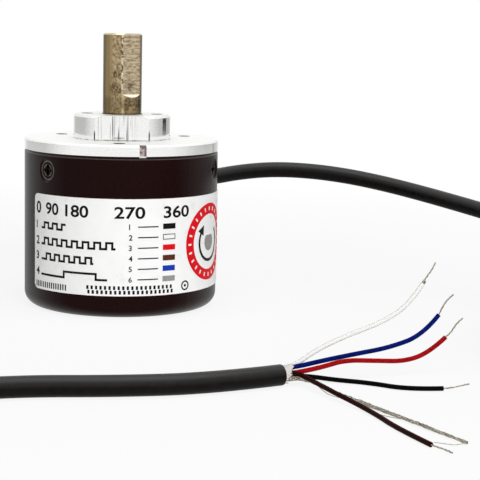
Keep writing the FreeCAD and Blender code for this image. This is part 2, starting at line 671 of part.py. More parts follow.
def make_light_source():
    """Emitter, lens and the holder that hangs them under the flange, above the slits."""
    holder = new_body("emitter_holder", clocked=True)
    block = sketch_on(holder, "XY_Plane", (0, 0, holder_low_z))
    half_holder = size.holder_width / 2
    rectangle(block, -half_holder, half_holder, -holder_outer_r, -track_r + size.holder_inset)
    feature(holder, "Pad", block, Length=spigot_low_z - holder_low_z)
    well = circle(sketch_on(holder, "XY_Plane", (0, 0, holder_low_z)), led_r, 0, -track_r)
    feature(holder, "Pocket", well, Reversed=True, Length=led_top_z - holder_low_z)
    channel = sketch_on(holder, "XY_Plane", (0, 0, led_top_z))
    half_channel = size.lead_pitch / 2 + size.lead_dia
    rectangle(channel, -half_channel, half_channel, -holder_outer_r - CUT_MARGIN, -track_r + led_r)
    feature(holder, "Pocket", channel, Reversed=True, Length=size.lead_rise * 2)
    counterbore_r = (size.holder_screw_head + size.holder_screw_room) / 2
    for radius, depth in ((counterbore_r, holder_ledge_z - holder_low_z),
                          (size.holder_screw_dia / 2, spigot_low_z - holder_low_z)):
        bores = sketch_on(holder, "XY_Plane", (0, 0, holder_low_z))
        for side in (-1, 1):
            circle(bores, radius, size.holder_screw_pitch / 2 * side, -holder_screw_r)
        feature(holder, "Pocket", bores, Reversed=True, Length=depth)

    screws = new_body("holder_screws", clocked=True)
    head_z = holder_ledge_z - size.holder_screw_rise
    thread_z = spigot_low_z + size.holder_screw_bite
    for radius, low, high in ((size.holder_screw_head / 2, head_z, holder_ledge_z),
                              (size.holder_screw_dia / 2, holder_ledge_z, thread_z)):
        rounds = sketch_on(screws, "XY_Plane", (0, 0, low))
        for side in (-1, 1):
            circle(rounds, radius, size.holder_screw_pitch / 2 * side, -holder_screw_r)
        feature(screws, "Pad", rounds, Length=high - low)

    led = new_body("emitter_led", clocked=True)
    shape = sketch_on(led, "YZ_Plane", (-track_r, 0, 0))
    revolve(led, rectangle(shape, 0, led_r, led_z, led_top_z))
    dressed(led, "Fillet", size.led_dome, lambda edge: level(edge, led_z))
    lens = new_body("collimator_lens", clocked=True)
    shape = sketch_on(lens, "YZ_Plane", (-track_r, 0, 0))
    revolve(lens, rectangle(shape, 0, led_r, lens_z, led_z))
    dressed(lens, "Fillet", size.lens_crown, lambda edge: level(edge, lens_z))

    turn_z = led_top_z + size.lead_rise
    leads = []
    for side in (-1, 1):
        x = size.lead_pitch.number / 2 * side
        leads.append(rounded_tube(size.lead_dia.number / 2, [
            (x, -track_r.number, led_top_z.number), (x, -track_r.number, turn_z.number),
            (x, -lead_r.number, turn_z.number), (x, -lead_r.number, board_z.number)]))
    solid_group("emitter_leads", leads, size.clocking.number)


def make_board():
    """Circuit board on three standoffs, with the detector under the slits."""
    board = turned("circuit_board", ring_corners(0, board_r, board_low_z, board_z), clocked=True)
    play_r = (size.board_screw_dia + size.board_screw_play) / 2
    hole = sketch_on(board, "XY_Plane", (0, 0, board_z), size.post_angle)
    circle(hole, play_r, 0, -post_r)
    polar(board, feature(board, "Pocket", hole, Length=size.board_thickness), STANDOFFS)

    posts = new_body("board_standoffs", clocked=True)
    base = sketch_on(posts, "XY_Plane", (0, 0, size.floor_thickness), size.post_angle)
    circle(base, size.post_dia / 2, 0, -post_r)
    circle(base, size.board_screw_dia / 2, 0, -post_r)
    polar(posts, feature(posts, "Pad", base, Length=board_low_z - size.floor_thickness), STANDOFFS)

    screws = new_body("board_screws", clocked=True)
    thread = sketch_on(screws, "XY_Plane", (0, 0, board_low_z - size.board_screw_bite), size.post_angle)
    circle(thread, size.board_screw_dia / 2, 0, -post_r)
    shank = feature(screws, "Pad", thread, Length=size.board_screw_bite + size.board_thickness)
    cap = sketch_on(screws, "XY_Plane", (0, 0, board_z), size.post_angle)
    circle(cap, size.board_screw_head / 2, 0, -post_r)
    head = feature(screws, "Pad", cap, Length=size.board_screw_rise)
    pattern = polar(screws, shank, STANDOFFS)
    pattern.Originals = [shank, head]

    half_width = size.detector_width / 2
    half_depth = size.detector_depth / 2
    detector = new_body("photodetector", clocked=True)
    plan = sketch_on(detector, "XY_Plane", (0, 0, board_z))
    rectangle(plan, -half_width, half_width, -track_r - half_depth, -track_r + half_depth)
    feature(detector, "Pad", plan, Length=size.detector_height)
    reticle = new_body("reticle", clocked=True)
    plan = sketch_on(reticle, "XY_Plane", (0, 0, detector_z))
    inner_width = half_width - size.reticle_margin
    inner_depth = half_depth - size.reticle_margin
    rectangle(plan, -inner_width, inner_width, -track_r - inner_depth, -track_r + inner_depth)
    feature(reticle, "Pad", plan, Length=size.reticle_thickness)


def make_board_parts():
    """Chips under the board, and cans and resistors midway between the standoffs."""
    for label, length, side in (("line_driver_chip", size.driver_length, 1),
                                ("comparator_chip", size.comparator_length, -1)):
        chip = new_body(label, clocked=True)
        plan = sketch_on(chip, "XY_Plane", (0, 0, board_low_z))
        middle = size.chip_offset * side
        rectangle(plan, middle - size.chip_width / 2, middle + size.chip_width / 2, -length / 2, length / 2)
        feature(chip, "Pad", plan, Length=size.chip_height, Reversed=True)
    half_step = 180 / STANDOFFS
    cans = new_body("board_capacitors", clocked=True)
    plan = sketch_on(cans, "XY_Plane", (0, 0, board_low_z), size.post_angle - half_step)
    for side in (-1, 1):
        circle(plan, size.can_dia / 2, size.can_spacing / 2 * side, -size.can_offset)
    feature(cans, "Pad", plan, Length=size.can_height, Reversed=True)
    resistors = new_body("board_resistors", clocked=True)
    plan = sketch_on(resistors, "XY_Plane", (0, 0, board_low_z), size.post_angle + half_step)
    for place in range(RESISTORS):
        middle = size.resistor_pitch * (place - (RESISTORS - 1) / 2)
        rectangle(plan, middle - size.resistor_width / 2, middle + size.resistor_width / 2,
                  -size.resistor_offset - size.resistor_length, -size.resistor_offset)
    feature(resistors, "Pad", plan, Length=size.resistor_height, Reversed=True)


def make_cable_entry():
    """Grommet with a tapered tail, and the ferrule that stops the cable being pulled out."""
    tip_y = body_r + size.grommet_reach
    collar_y = body_r + size.grommet_collar_thickness
    lip_y = bore_r - size.lip_seat
    collar_r = size.grommet_collar / 2
    grommet = new_body("cable_grommet", clocked=True)
    tail = sketch_on(grommet, "YZ_Plane", (0, cable_z, 0))
    outline(tail, [
        (bore_r, cable_r), (tip_y, cable_r), (tip_y, size.grommet_tip / 2),
        (collar_y, size.entry_dia / 2), (collar_y, collar_r), (bore_r, collar_r)])
    revolve(grommet, tail, "H_Axis")
    wall = circle(sketch_on(grommet, "XY_Plane", (0, 0, cable_z + collar_r + CUT_MARGIN)), body_r)
    feature(grommet, "Pocket", wall, Length=(collar_r + CUT_MARGIN) * 2)
    neck = sketch_on(grommet, "YZ_Plane", (0, cable_z, 0))
    low_y = lip_y - size.grommet_lip_thickness
    outline(neck, [
        (low_y, cable_r), (collar_y, cable_r), (collar_y, size.entry_dia / 2),
        (lip_y, size.entry_dia / 2), (lip_y, size.grommet_lip / 2), (low_y, size.grommet_lip / 2)])
    revolve(grommet, neck, "H_Axis")

    ferrule = new_body("crimp_ferrule", clocked=True)
    section = sketch_on(ferrule, "YZ_Plane", (0, cable_z, 0))
    rectangle(section, low_y - size.ferrule_length, low_y, cable_r, cable_r + size.ferrule_wall)
    revolve(ferrule, section, "H_Axis")

    jacket_y = low_y.number - size.ferrule_length.number - size.jacket_tail.number
    ring = size.wire_ring.number
    slant = math.sqrt(3) / 2 * ring
    places = [(-slant, ring / 2), (-slant, -ring / 2), (0, ring), (slant, -ring / 2), (slant, ring / 2)]
    wires = []
    for place, (across, up) in enumerate(places, start=-2):
        pad_x = place * size.pad_pitch.number
        pad_y = math.sqrt(lead_r.number ** 2 - pad_x ** 2)
        wire_z = cable_z.number + up
        run = size.pigtail_high_run if up > 0 else size.pigtail_low_run
        wires.append(rounded_tube(size.wire_dia.number / 2, [
            (across, jacket_y, wire_z), (across, jacket_y - run.number, wire_z),
            (pad_x, pad_y, board_z.number + size.pigtail_end.number), (pad_x, pad_y, board_z.number)]))
    solid_group("pigtail_wires", wires, size.clocking.number)
    return jacket_y


def rounded_path(points):
    """Straight runs joined by tangent arcs, each as large as its two runs allow."""
    points = [FreeCAD.Vector(*point) for point in points]
    edges = []
    radii = []
    start = points[0]
    for before, corner, after in zip(points, points[1:], points[2:]):
        back = before - corner
        ahead = after - corner
        turn = math.pi - back.getAngle(ahead)
        trim = ARC_SHARE * min(back.Length, ahead.Length)
        radius = trim / math.tan(turn / 2)
        back.normalize()
        ahead.normalize()
        entry = corner + back * trim
        leave = corner + ahead * trim
        inward = back + ahead
        inward.normalize()
        middle = corner + inward * (radius / math.cos(turn / 2) - radius)
        edges.append(Part.LineSegment(start, entry).toShape())
        edges.append(Part.Arc(entry, middle, leave).toShape())
        radii.append(radius)
        start = leave
    edges.append(Part.LineSegment(start, points[-1]).toShape())
    return Part.Wire(edges), radii


def rounded_tube(radius, points):
    """Solid round bar along a rounded path."""
    path, _ = rounded_path(points)
    first = FreeCAD.Vector(*points[0])
    along = FreeCAD.Vector(*points[1]) - first
    section = Part.Wire([Part.Circle(first, along, radius).toShape()])
    solid = path.makePipeShell([section], True, True)
    expected = math.pi * radius ** 2 * path.Length
    if abs(solid.Volume - expected) > VOLUME_TOLERANCE * expected:
        raise ValueError(f"tube volume {solid.Volume:.2f} is not {expected:.2f}")
    return solid


def solid_group(label, solids, turn=0.0):
    """One piece from ready solids."""
    piece = doc.addObject("Part::Feature", label)
    piece.Label = label
    piece.Shape = solids[0] if len(solids) == 1 else Part.makeCompound(solids)
    piece.Placement = FreeCAD.Placement(FreeCAD.Vector(), FreeCAD.Rotation(FreeCAD.Vector(0, 0, 1), turn))
    pieces.append(piece)


def cord(label, radius, points):
    """Free cord along its route, with its length and bends printed."""
    path, radii = rounded_path(points)
    solid_group(label, [rounded_tube(radius, points)])
    print(f"{label}: length {path.Length:.1f}, tightest bend {min(radii):.1f}, "
          f"bends {[round(bend, 1) for bend in radii]}")


# Routes of the free cords, chosen by hand on the surface that the encoder stands on
LEAD_ROUTE = [
    (26.2, 22.4, 25.4), (34.2, 25.3, 25.9), (42.7, 25.7, 25.6), (50.9, 23.7, 24.8), (58.8, 19.3, 23.6),
    (66.3, 12.8, 22.2), (73.7, 4.6, 20.7), (81.7, -5.0, 19.0), (89.4, -15.4, 17.2), (96.9, -26.1, 15.3),
    (104.9, -36.3, 13.7), (113.9, -46.1, 13.05)]
TAIL_ROUTE = [
    (112.2, -85.5, 2.55), (98.0, -97.7, 1.9), (83.0, -111.2, 1.75), (66.5, -125.6, 1.75),
    (46.5, -135.4, 1.75), (24.0, -139.6, 1.75), (2.0, -140.4, 1.75), (-19.0, -138.0, 1.75),
    (-36.0, -130.0, 1.75), (-45.5, -115.5, 1.75), (-45.0, -98.5, 1.75), (-34.0, -86.0, 1.75),
    (-17.0, -80.6, 1.75), (0.0, -80.6, 1.75), (15.0, -78.4, 1.75), (26.3, -72.85, 1.75)]
WIRE_ROUTES = {
    "white": [
        (32.7, -67.9, 4.9), (38.6, -65.2, 6.9), (44.8, -62.0, 8.4), (49.8, -59.4, 11.0), (52.3, -58.0, 14.4)],
    "blue": [
        (33.3, -69.1, 3.2), (39.2, -66.2, 3.7), (45.8, -63.6, 4.3), (52.0, -61.2, 6.0), (54.9, -60.0, 9.3)],
    "red": [
        (33.3, -70.6, 2.5), (37.4, -68.4, 3.2), (43.0, -66.2, 2.6), (48.6, -64.4, 2.1), (53.0, -62.8, 3.4),
        (55.8, -62.0, 5.8)],
    "black": [
        (31.4, -70.6, 0.95), (35.6, -71.2, 0.5), (41.0, -73.0, 0.45), (46.6, -77.2, 0.45), (52.4, -76.6, 0.45)],
    "brown": [
        (30.7, -73.3, 2.2), (32.0, -76.6, 1.9), (33.6, -82.0, 1.3), (36.4, -87.0, 0.7), (38.7, -93.0, 0.47),
        (40.4, -100.3, 0.47), (43.6, -108.7, 0.47)],
}
SHIELD_ROUTE = [
    (31.2, -73.4, 1.0), (33.2, -76.5, 0.5), (34.9, -81.2, 0.47), (38.2, -86.6, 0.47), (41.6, -93.2, 0.47),
    (45.4, -100.6, 0.47), (49.0, -107.7, 0.47)]


def make_cable(jacket_y):
    """Cable from the ferrule to the coil, the coil with its ties, and the cable to its stripped end."""
    clocking = math.radians(size.clocking.number)
    out_x = -math.sin(clocking)
    out_y = math.cos(clocking)
    straight = body_r.number + size.grommet_reach.number
    start = (out_x * jacket_y, out_y * jacket_y, cable_z.number)
    leave = (out_x * straight, out_y * straight, cable_z.number)
    cord("cable_lead", cable_r.number, [start, leave] + LEAD_ROUTE)
    cord("cable_tail", cable_r.number, TAIL_ROUTE)

    half_width = size.cable_dia * (size.coil_turn_count + 1) / 2
    coil_r = size.coil_mean_dia / 2
    high_z = coil_low_z + size.cable_dia * size.coil_layer_count
    coil = turned("cable_coil", ring_corners(coil_r - half_width, coil_r + half_width, coil_low_z, high_z))
    dressed(coil, "Fillet", cable_r, lambda edge: level(edge, coil_low_z) or level(edge, high_z))
    bind(coil, "Placement.Base.x", size.coil_x)
    bind(coil, "Placement.Base.y", size.coil_y)

    ties = new_body("coil_ties")
    bind(ties, "Placement.Base.x", size.coil_x)
    bind(ties, "Placement.Base.y", size.coil_y)
    bind(ties, "Placement.Rotation.Angle", size.tie_angle)
    band = sketch_on(ties, "XZ_Plane", (0, 0, -size.tie_width / 2))
    inner = coil_r - half_width - size.tie_slack
    outer = coil_r + half_width + size.tie_slack
    rim = size.tie_thickness
    rectangle(band, inner - rim, outer + rim, coil_low_z - rim, high_z + rim)
    rectangle(band, inner, outer, coil_low_z, high_z)
    polar(ties, feature(ties, "Pad", band, Length=size.tie_width), TIES)


def make_stripped_end():
    """Core wrap, five wires with bare ends, and the twisted shield, fanned out from the cut jacket."""
    cut = FreeCAD.Vector(*TAIL_ROUTE[-1])
    along = cut - FreeCAD.Vector(*TAIL_ROUTE[-2])
    along.normalize()
    across = FreeCAD.Vector(0, 0, 1).cross(along)
    wrap_r = size.wrap_dia.number / 2
    reach = size.wrap_reach.number
    outer = Part.makeCylinder(wrap_r, reach, cut, along)
    inner = Part.makeCylinder(wrap_r - size.wrap_thickness.number, reach, cut, along)
    solid_group("core_wrap", [outer.cut(inner)])

    ring = size.wire_ring.number
    slant = math.sqrt(3) / 2 * ring
    places = {"white": (slant, ring / 2), "blue": (0, ring), "red": (0, 0), "black": (slant, -ring / 2),
              "brown": (-slant, ring / 2), "shield": (-slant, -ring / 2)}
    starts = {}
    for strand, (left, up) in places.items():
        begin = cut + across * left + FreeCAD.Vector(0, 0, up)
        starts[strand] = [tuple(begin), tuple(begin + along * (reach + size.wire_dia.number))]
    tips = []
    for colour, route in WIRE_ROUTES.items():
        cord(f"wire_{colour}", size.wire_dia.number / 2, starts[colour] + route)
        end = FreeCAD.Vector(*route[-1])
        ahead = end - FreeCAD.Vector(*route[-2])
        tips.append(Part.makeCylinder(size.tip_dia.number / 2, size.tip_length.number, end, ahead))
    solid_group("wire_tips", tips)
    cord("shield_drain", size.shield_dia.number / 2, starts["shield"] + SHIELD_ROUTE)


def main():
    make_housing()
    make_housing_screws()
    make_label()
    make_flange()
    make_oring()
    make_shaft()
    make_bearing("front", front_low_z)
    make_bearing("rear", rear_low_z)
    make_bearing_fittings()
    make_hub()
    make_code_disc()
    make_light_source()
    make_board()
    make_board_parts()
    make_cable(make_cable_entry())
    make_stripped_end()
    doc.recompute()
    failed = [thing.Name for thing in doc.Objects if {"Invalid", "Error"} & set(thing.State)]
    failed += [piece.Label for piece in pieces if piece.Shape.isNull() or not piece.Shape.isValid()]
    if failed:
        raise RuntimeError(f"not built: {failed}")
    os.makedirs("parts", exist_ok=True)
    for piece in pieces:
        piece.Shape.exportStep(f"parts/{piece.Label}.step")
        box = piece.Shape.BoundBox
        print(f"{piece.Label}: {len(piece.Shape.Solids)} solids, {piece.Shape.Volume:.2f} mm3, "
              f"z {box.ZMin:.2f} to {box.ZMax:.2f}")


main()
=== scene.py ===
"""Looks of an incremental rotary encoder: finishes, label print, stripped cable and a plain studio."""
import random
from math import ceil, cos, pi, radians, sin, sqrt

import bmesh
import bpy
from mathutils import Matrix, Vector


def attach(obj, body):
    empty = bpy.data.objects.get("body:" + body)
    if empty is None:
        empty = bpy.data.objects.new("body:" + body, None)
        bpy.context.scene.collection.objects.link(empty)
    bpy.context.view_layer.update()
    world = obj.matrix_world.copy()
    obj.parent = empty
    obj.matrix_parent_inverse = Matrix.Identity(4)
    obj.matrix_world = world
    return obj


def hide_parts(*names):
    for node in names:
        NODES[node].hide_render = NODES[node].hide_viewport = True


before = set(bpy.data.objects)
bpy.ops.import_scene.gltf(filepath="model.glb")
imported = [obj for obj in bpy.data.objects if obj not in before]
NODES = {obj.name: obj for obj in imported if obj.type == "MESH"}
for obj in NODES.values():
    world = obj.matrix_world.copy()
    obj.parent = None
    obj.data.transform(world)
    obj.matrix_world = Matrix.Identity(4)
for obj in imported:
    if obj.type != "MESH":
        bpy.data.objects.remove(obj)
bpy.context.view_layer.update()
MM = 0.001
STATOR = "stator"
WHITE = "#ffffff"
UP = Vector((0, 0, 1))

# Camera, from the photograph's perspective: pixels of its frame, millimetres and degrees
FRAME_PX = 480
FOCAL_PX = 1458
SENSOR_MM = 36
EYE_MM = (0.0, -304.0, 57.95)
EYE_YAW = 4.72
EYE_DOWN = 8.34
EYE_ROLL = 1.24

# Studio: brightness that glossy surfaces find round the part, by degrees from the front towards +X
STUDIO_RING = [
    (-180, 1.0), (-160, 0.85), (-143, 0.55), (-100, 0.54), (-78, 0.82), (-58, 1.0), (58, 1.0), (78, 0.8),
    (100, 0.56), (146, 0.5), (160, 0.7), (180, 1.0)]
STUDIO_FILL = 0.2
# How steeply glossy surfaces have to look up to find the white ceiling
CEILING_START = 0.12
CEILING_FULL = 0.35
# Dark cards on the right, one far enough for the boss alone to mirror it: degrees, metres away, brightness
CARDS = [(113, 129, 0.50, 4.0, 0.015), (136.8, 138.2, 0.34, 0.46, 0.25)]
CARD_SOFT = 1.5
CARD_FADE = 0.02
# Floor: whiter to glossy surfaces near the part, and white to the eye away from it, in metres
FLOOR_HALF = 3.0
FLOOR_Z = -0.00005
GLOW_NEAR = 0.42
GLOW_FAR = 0.48
GLOW_LIFT = 0.25
FLOOR_NEAR = 0.08
FLOOR_FAR = 0.24
FLOOR_SHARE = 0.86
# Lamps: place and size in metres, power in watts, and whether glossy surfaces mirror them
LAMPS = [
    ("front_softbox", (0.22, -0.80, 0.34), 0.55, 4.8, False),
    ("top_softbox", (0.05, -0.10, 0.75), 0.75, 2.2, True)]
LAMP_AIM = (0, 0, 0.02)

# Turned and milled surfaces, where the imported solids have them
BOSS_RADIUS = 10.0
BOSS_FLAT = 8.4
BOSS_CORNER = 5.43
BOSS_LOW = 34.5
BOSS_HIGH = 39.5
NOTCH_ANGLE = 12.0
NOTCH_WIDTH = 1.4
RIM_RADIUS = 20.0
RIM_LOW = 32.0
# Turning rings, further apart than real ones so that they show
TURNING_STEP = 0.3
FLAT_ANGLE = 32.0
FLAT_FROM_AXIS = 3.4
FLAT_LOW = 43.0
FLAT_EDGE = -2.1
SHAFT_RADIUS = 4.0
SHAFT_TOP = 56.0
ABOVE_ALL = 60
OIL_BLOTCHES = [
    ((1.6, -3.1, 45.3), 0.9), ((-1.45, -3.7, 44.8), 1.2), ((-1.3, -3.8, 47.6), 0.7),
    ((0.75, -3.9, 41.6), 0.9), ((3.4, -2.1, 41.6), 0.9)]
SCREW_ANGLE = -48.0
SCREW_STEP = 120
SCREW_Z = 28.8
# Pale rings on the screws, round the head and at the ends of the cross: partly wear, partly painted highlight
# of those edges
SCREW_RINGS = ((1.76, 1.9), (1.08, 1.18))
STREAK_STRETCH = (1, 1, 0.03)

# Label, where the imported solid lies: angles from the front towards +X, in degrees
LABEL_START = -59.3
LABEL_RADIUS = 20.12
LABEL_LOW = 4.7
INK_LIFT = 0.012
INK_THICKNESS = 0.015
INK_STEP = 0.6
INK_WELD = 0.002
INK_CUT = 0.0005
BOLD = 0.02
LABEL_INPUTS = ["Radius", "Start", "Low"]
INK_TONES = {
    "black": ("#080808", "#121111"), "red": ("#d60414", "#e80a1c"), "blue": ("#12309c", "#1b3fb8"),
    "brown": ("#4a2415", "#5c301e"), "grey": ("#8e8d89", "#a09f9a"), "white": ("#f0f0ef", "#f8f8f7")}
# Print, in millimetres along and up the label: degrees with their left and right ends
DEGREES = (("0", 0.8, 2.4), ("90", 4.0, 7.5), ("180", 9.2, 14.3), ("270", 19.5, 25.6), ("360", 29.5, 35.6))
DEGREES_LOW = 15.4
DEGREES_HEIGHT = 2.4
# Pulse traces: foot, height, right end, period and phase
TRACES = (
    (12.4, 1.5, 9.3, 2.4, 0.4), (9.15, 1.65, 19.8, 2.4, 0.4), (6.1, 1.6, 15.4, 2.4, 0.65),
    (2.95, 1.6, 18.2, 14.0, 0.45))
TRACE_NUMBER_LEFT = 0.8
TRACE_LEFT = 2.6
TRACE_LINE = 0.44
# Wiring key: a number, a line and a patch of the wire's colour, framed where the wire is white
KEY_INKS = ("black", None, "red", "brown", "blue", "grey")
KEY_TOP = 13.8
KEY_STEP = 2.1
KEY_NUMBER_LEFT = 22.4
KEY_LINE = (24.2, 28.4)
KEY_LINE_HALF = 0.12
KEY_PATCH = (29.4, 32.2)
KEY_HALF = 0.55
KEY_FRAME = 0.15
# Turning dial: a ring with marks, an arrow round, and the shaft's section
DIAL = (42.9, 9.6)
DIAL_RING = (5.7, 7.9)
DIAL_MARK = (6.4, 7.2)
DIAL_MARKS = 24
DIAL_MARK_HALF = 1.6
DIAL_ARC = (3.5, 4.1, 150, 400)
DIAL_ARROW = ((4.9, 150), (4.2, 122), (2.7, 150))
DIAL_SHAFT = 1.9
DIAL_SHAFT_START = 134
DIAL_SHAFT_STEP = 6.8
DIAL_SHAFT_POINTS = 41
AXIS_SIGN = (34.85, 1.5)
AXIS_RING = (0.7, 1.0)
AXIS_DOT = 0.28
AXIS_DOT_POINTS = 24
# Rows of bars: left end, foot, count, spacing and height
TRACKS = (
    ("print_track_upper", 14.2, 1.65, 20, 0.9, 0.75), ("print_track_lower", 14.425, 0.75, 20, 0.9, 0.75),
    ("print_scale", 0.9, 1.1, 15, 0.6, 1.2))

# Cable and wires in millimetres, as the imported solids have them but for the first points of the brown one
CABLE_DIA = 3.5
CABLE_OUT = (0.7431, 0.6691)
CABLE_START = 14.85
CABLE_LEAVE = 26.0
CABLE_Z = 24.6
ROUTE_STEPS = 8
ROUTE_ROUNDING = 6
WIRE_DIA = 0.8
WIRE_RING = 0.95
WIRE_INSIDE = 5.0
WIRE_TONES = {
    "white": ("#ecebe8", "#f4f3f0"), "blue": ("#040d4a", "#081b78"), "red": ("#8a090f", "#ad1117"),
    "black": ("#020202", "#060606"), "brown": ("#1d0503", "#2b0906")}
WRAP_REACH = 1.3
WRAP_DIA = 3.2
WRAP_THICK = 0.1
WRAP_HELD = 0.5
WRAP_COLUMNS = 60
WRAP_ROWS = 6
WRAP_SEED = 4
WRAP_RAG = 0.3
WRAP_SLANT = 0.5
WRAP_SLANT_TURN = 0.4
WRAP_FLARE = 0.12
WRAP_FOLDS = 5
WRAP_RUFFLE = 0.05
STRAND_SIDES = 8
SHIELD_STRANDS = {
    "Strands": 7, "Thickness": 0.16, "Lay": 0.37, "Pitch": 6.5, "Step": 0.3, "Stray": 0.35, "Gather": 0.6}
TIP_STRANDS = {"Strands": 3, "Thickness": 0.14, "Lay": 0.077, "Pitch": 2.6, "Step": 0.15, "Stray": 0.1}
HAIR = {"Strands": 1, "Thickness": 0.12, "Lay": 0.0, "Pitch": 1000, "Step": 0.4, "Stray": 0.15}
TIP_LENGTH = 4.5
TIP_INSIDE = 0.6
KNOT_POINTS = 14
KNOT_POINTS_ROUND = 6
KNOT_RISE = 0.05
KNOT_RADIUS = 0.24
LEAD_ROUTE = [
    (26.2, 22.4, 25.4), (34.2, 25.3, 25.9), (42.7, 25.7, 25.6), (50.9, 23.7, 24.8), (58.8, 19.3, 23.6),
    (66.3, 12.8, 22.2), (73.7, 4.6, 20.7), (81.7, -5.0, 19.0), (89.4, -15.4, 17.2), (96.9, -26.1, 15.3),
    (104.9, -36.3, 13.7), (113.9, -46.1, 13.05)]
TAIL_ROUTE = [
    (112.2, -85.5, 2.55), (98.0, -97.7, 1.9), (83.0, -111.2, 1.75), (66.5, -125.6, 1.75),
    (46.5, -135.4, 1.75), (24.0, -139.6, 1.75), (2.0, -140.4, 1.75), (-19.0, -138.0, 1.75),
    (-36.0, -130.0, 1.75), (-45.5, -115.5, 1.75), (-45.0, -98.5, 1.75), (-34.0, -86.0, 1.75),
    (-17.0, -80.6, 1.75), (0.0, -80.6, 1.75), (15.0, -78.4, 1.75), (26.3, -72.85, 1.75)]
WIRE_ROUTES = {
    "white": [
        (32.7, -67.9, 4.9), (38.6, -65.2, 6.9), (44.8, -62.0, 8.4), (49.8, -59.4, 11.0), (52.3, -58.0, 14.4)],
    "blue": [
        (33.3, -69.1, 3.2), (39.2, -66.2, 3.7), (45.8, -63.6, 4.3), (52.0, -61.2, 6.0), (54.9, -60.0, 9.3)],
    "red": [
        (33.3, -70.6, 2.5), (37.4, -68.4, 3.2), (43.0, -66.2, 2.6), (48.6, -64.4, 2.1), (53.0, -62.8, 3.4),
        (55.8, -62.0, 5.8)],
    "black": [
        (31.4, -70.6, 0.95), (35.6, -71.2, 0.5), (41.0, -73.0, 0.45), (46.6, -77.2, 0.45),
        (52.4, -76.6, 0.45)],
    "brown": [
        (30.2, -73.7, 1.6), (31.7, -77.0, 1.35), (33.6, -82.0, 1.2), (36.4, -87.0, 0.7), (38.7, -93.0, 0.47),
        (40.4, -100.3, 0.47), (43.6, -108.7, 0.47)],
}
SHIELD_ROUTE = [
    (31.2, -73.4, 1.0), (33.2, -76.5, 0.5), (34.9, -81.2, 0.47), (38.2, -86.6, 0.47), (41.6, -93.2, 0.47),
    (45.4, -100.6, 0.47), (49.0, -107.7, 0.47)]
# Bare wire ends: how far each strays upwards and sideways at each third of its length
TIP_WAVES = {
    "white": [(0.1, 0), (-0.05, 0), (0.15, 0)],
    "blue": [(0.35, 0), (0.5, 0), (0.2, 0)],
    "red": [(0, 0), (0.5, 0), (0.4, 0)],
    "black": [(0.1, 0), (0.35, 0.1), (0.6, 0.2)],
    "brown": [(0, 0.25), (0, 0.6), (0, 0.6)],
}
STRAY_HAIRS = [
    [(31.4, -73.6, 0.9), (32.3, -76.8, 0.5), (33.3, -80.6, 0.15), (35.8, -83.4, 0.35)],
    [(38.4, -86.8, 0.4), (41.2, -89.8, 0.15), (43.4, -93.6, 0.15), (44.4, -98.4, 0.4)],
    [(36.0, -83.4, 0.4), (37.7, -88.8, 0.15), (40.2, -92.8, 0.15), (42.6, -95.4, 0.4)],
    [(48.8, -107.7, 0.45), (47.6, -108.0, 0.15), (46.2, -107.2, 0.12), (44.6, -106.3, 0.12)],
]

# Put-away coil: turns per layer follow from the angles where the cable comes in and goes out
COIL_MIDDLE = (95.0, -65.0)
COIL_OUTER = 26.75
COIL_INNER = 16.25
COIL_LEVELS = (13.05, 9.55, 6.05, 2.55)
COIL_IN_ANGLE = 45.0
COIL_OUT_ANGLE = -50.0
COIL_WHOLE_TURNS = 12
COIL_DROP_ANGLE = 60.0
COIL_POINTS = 16
TIE_ANGLES = (20.0, 200.0)
TIE_TOP = 15.6
TIE_LOCK = (5.2, 5.0, 3.2)
TIE_TAIL = (4.5, 2.9, 0.9)
TIE_TAIL_OUT = 4.2
TIE_TAIL_RISE = 1.5
TIE_TAIL_TILT = -12.0
TIE_EDGE = 0.3

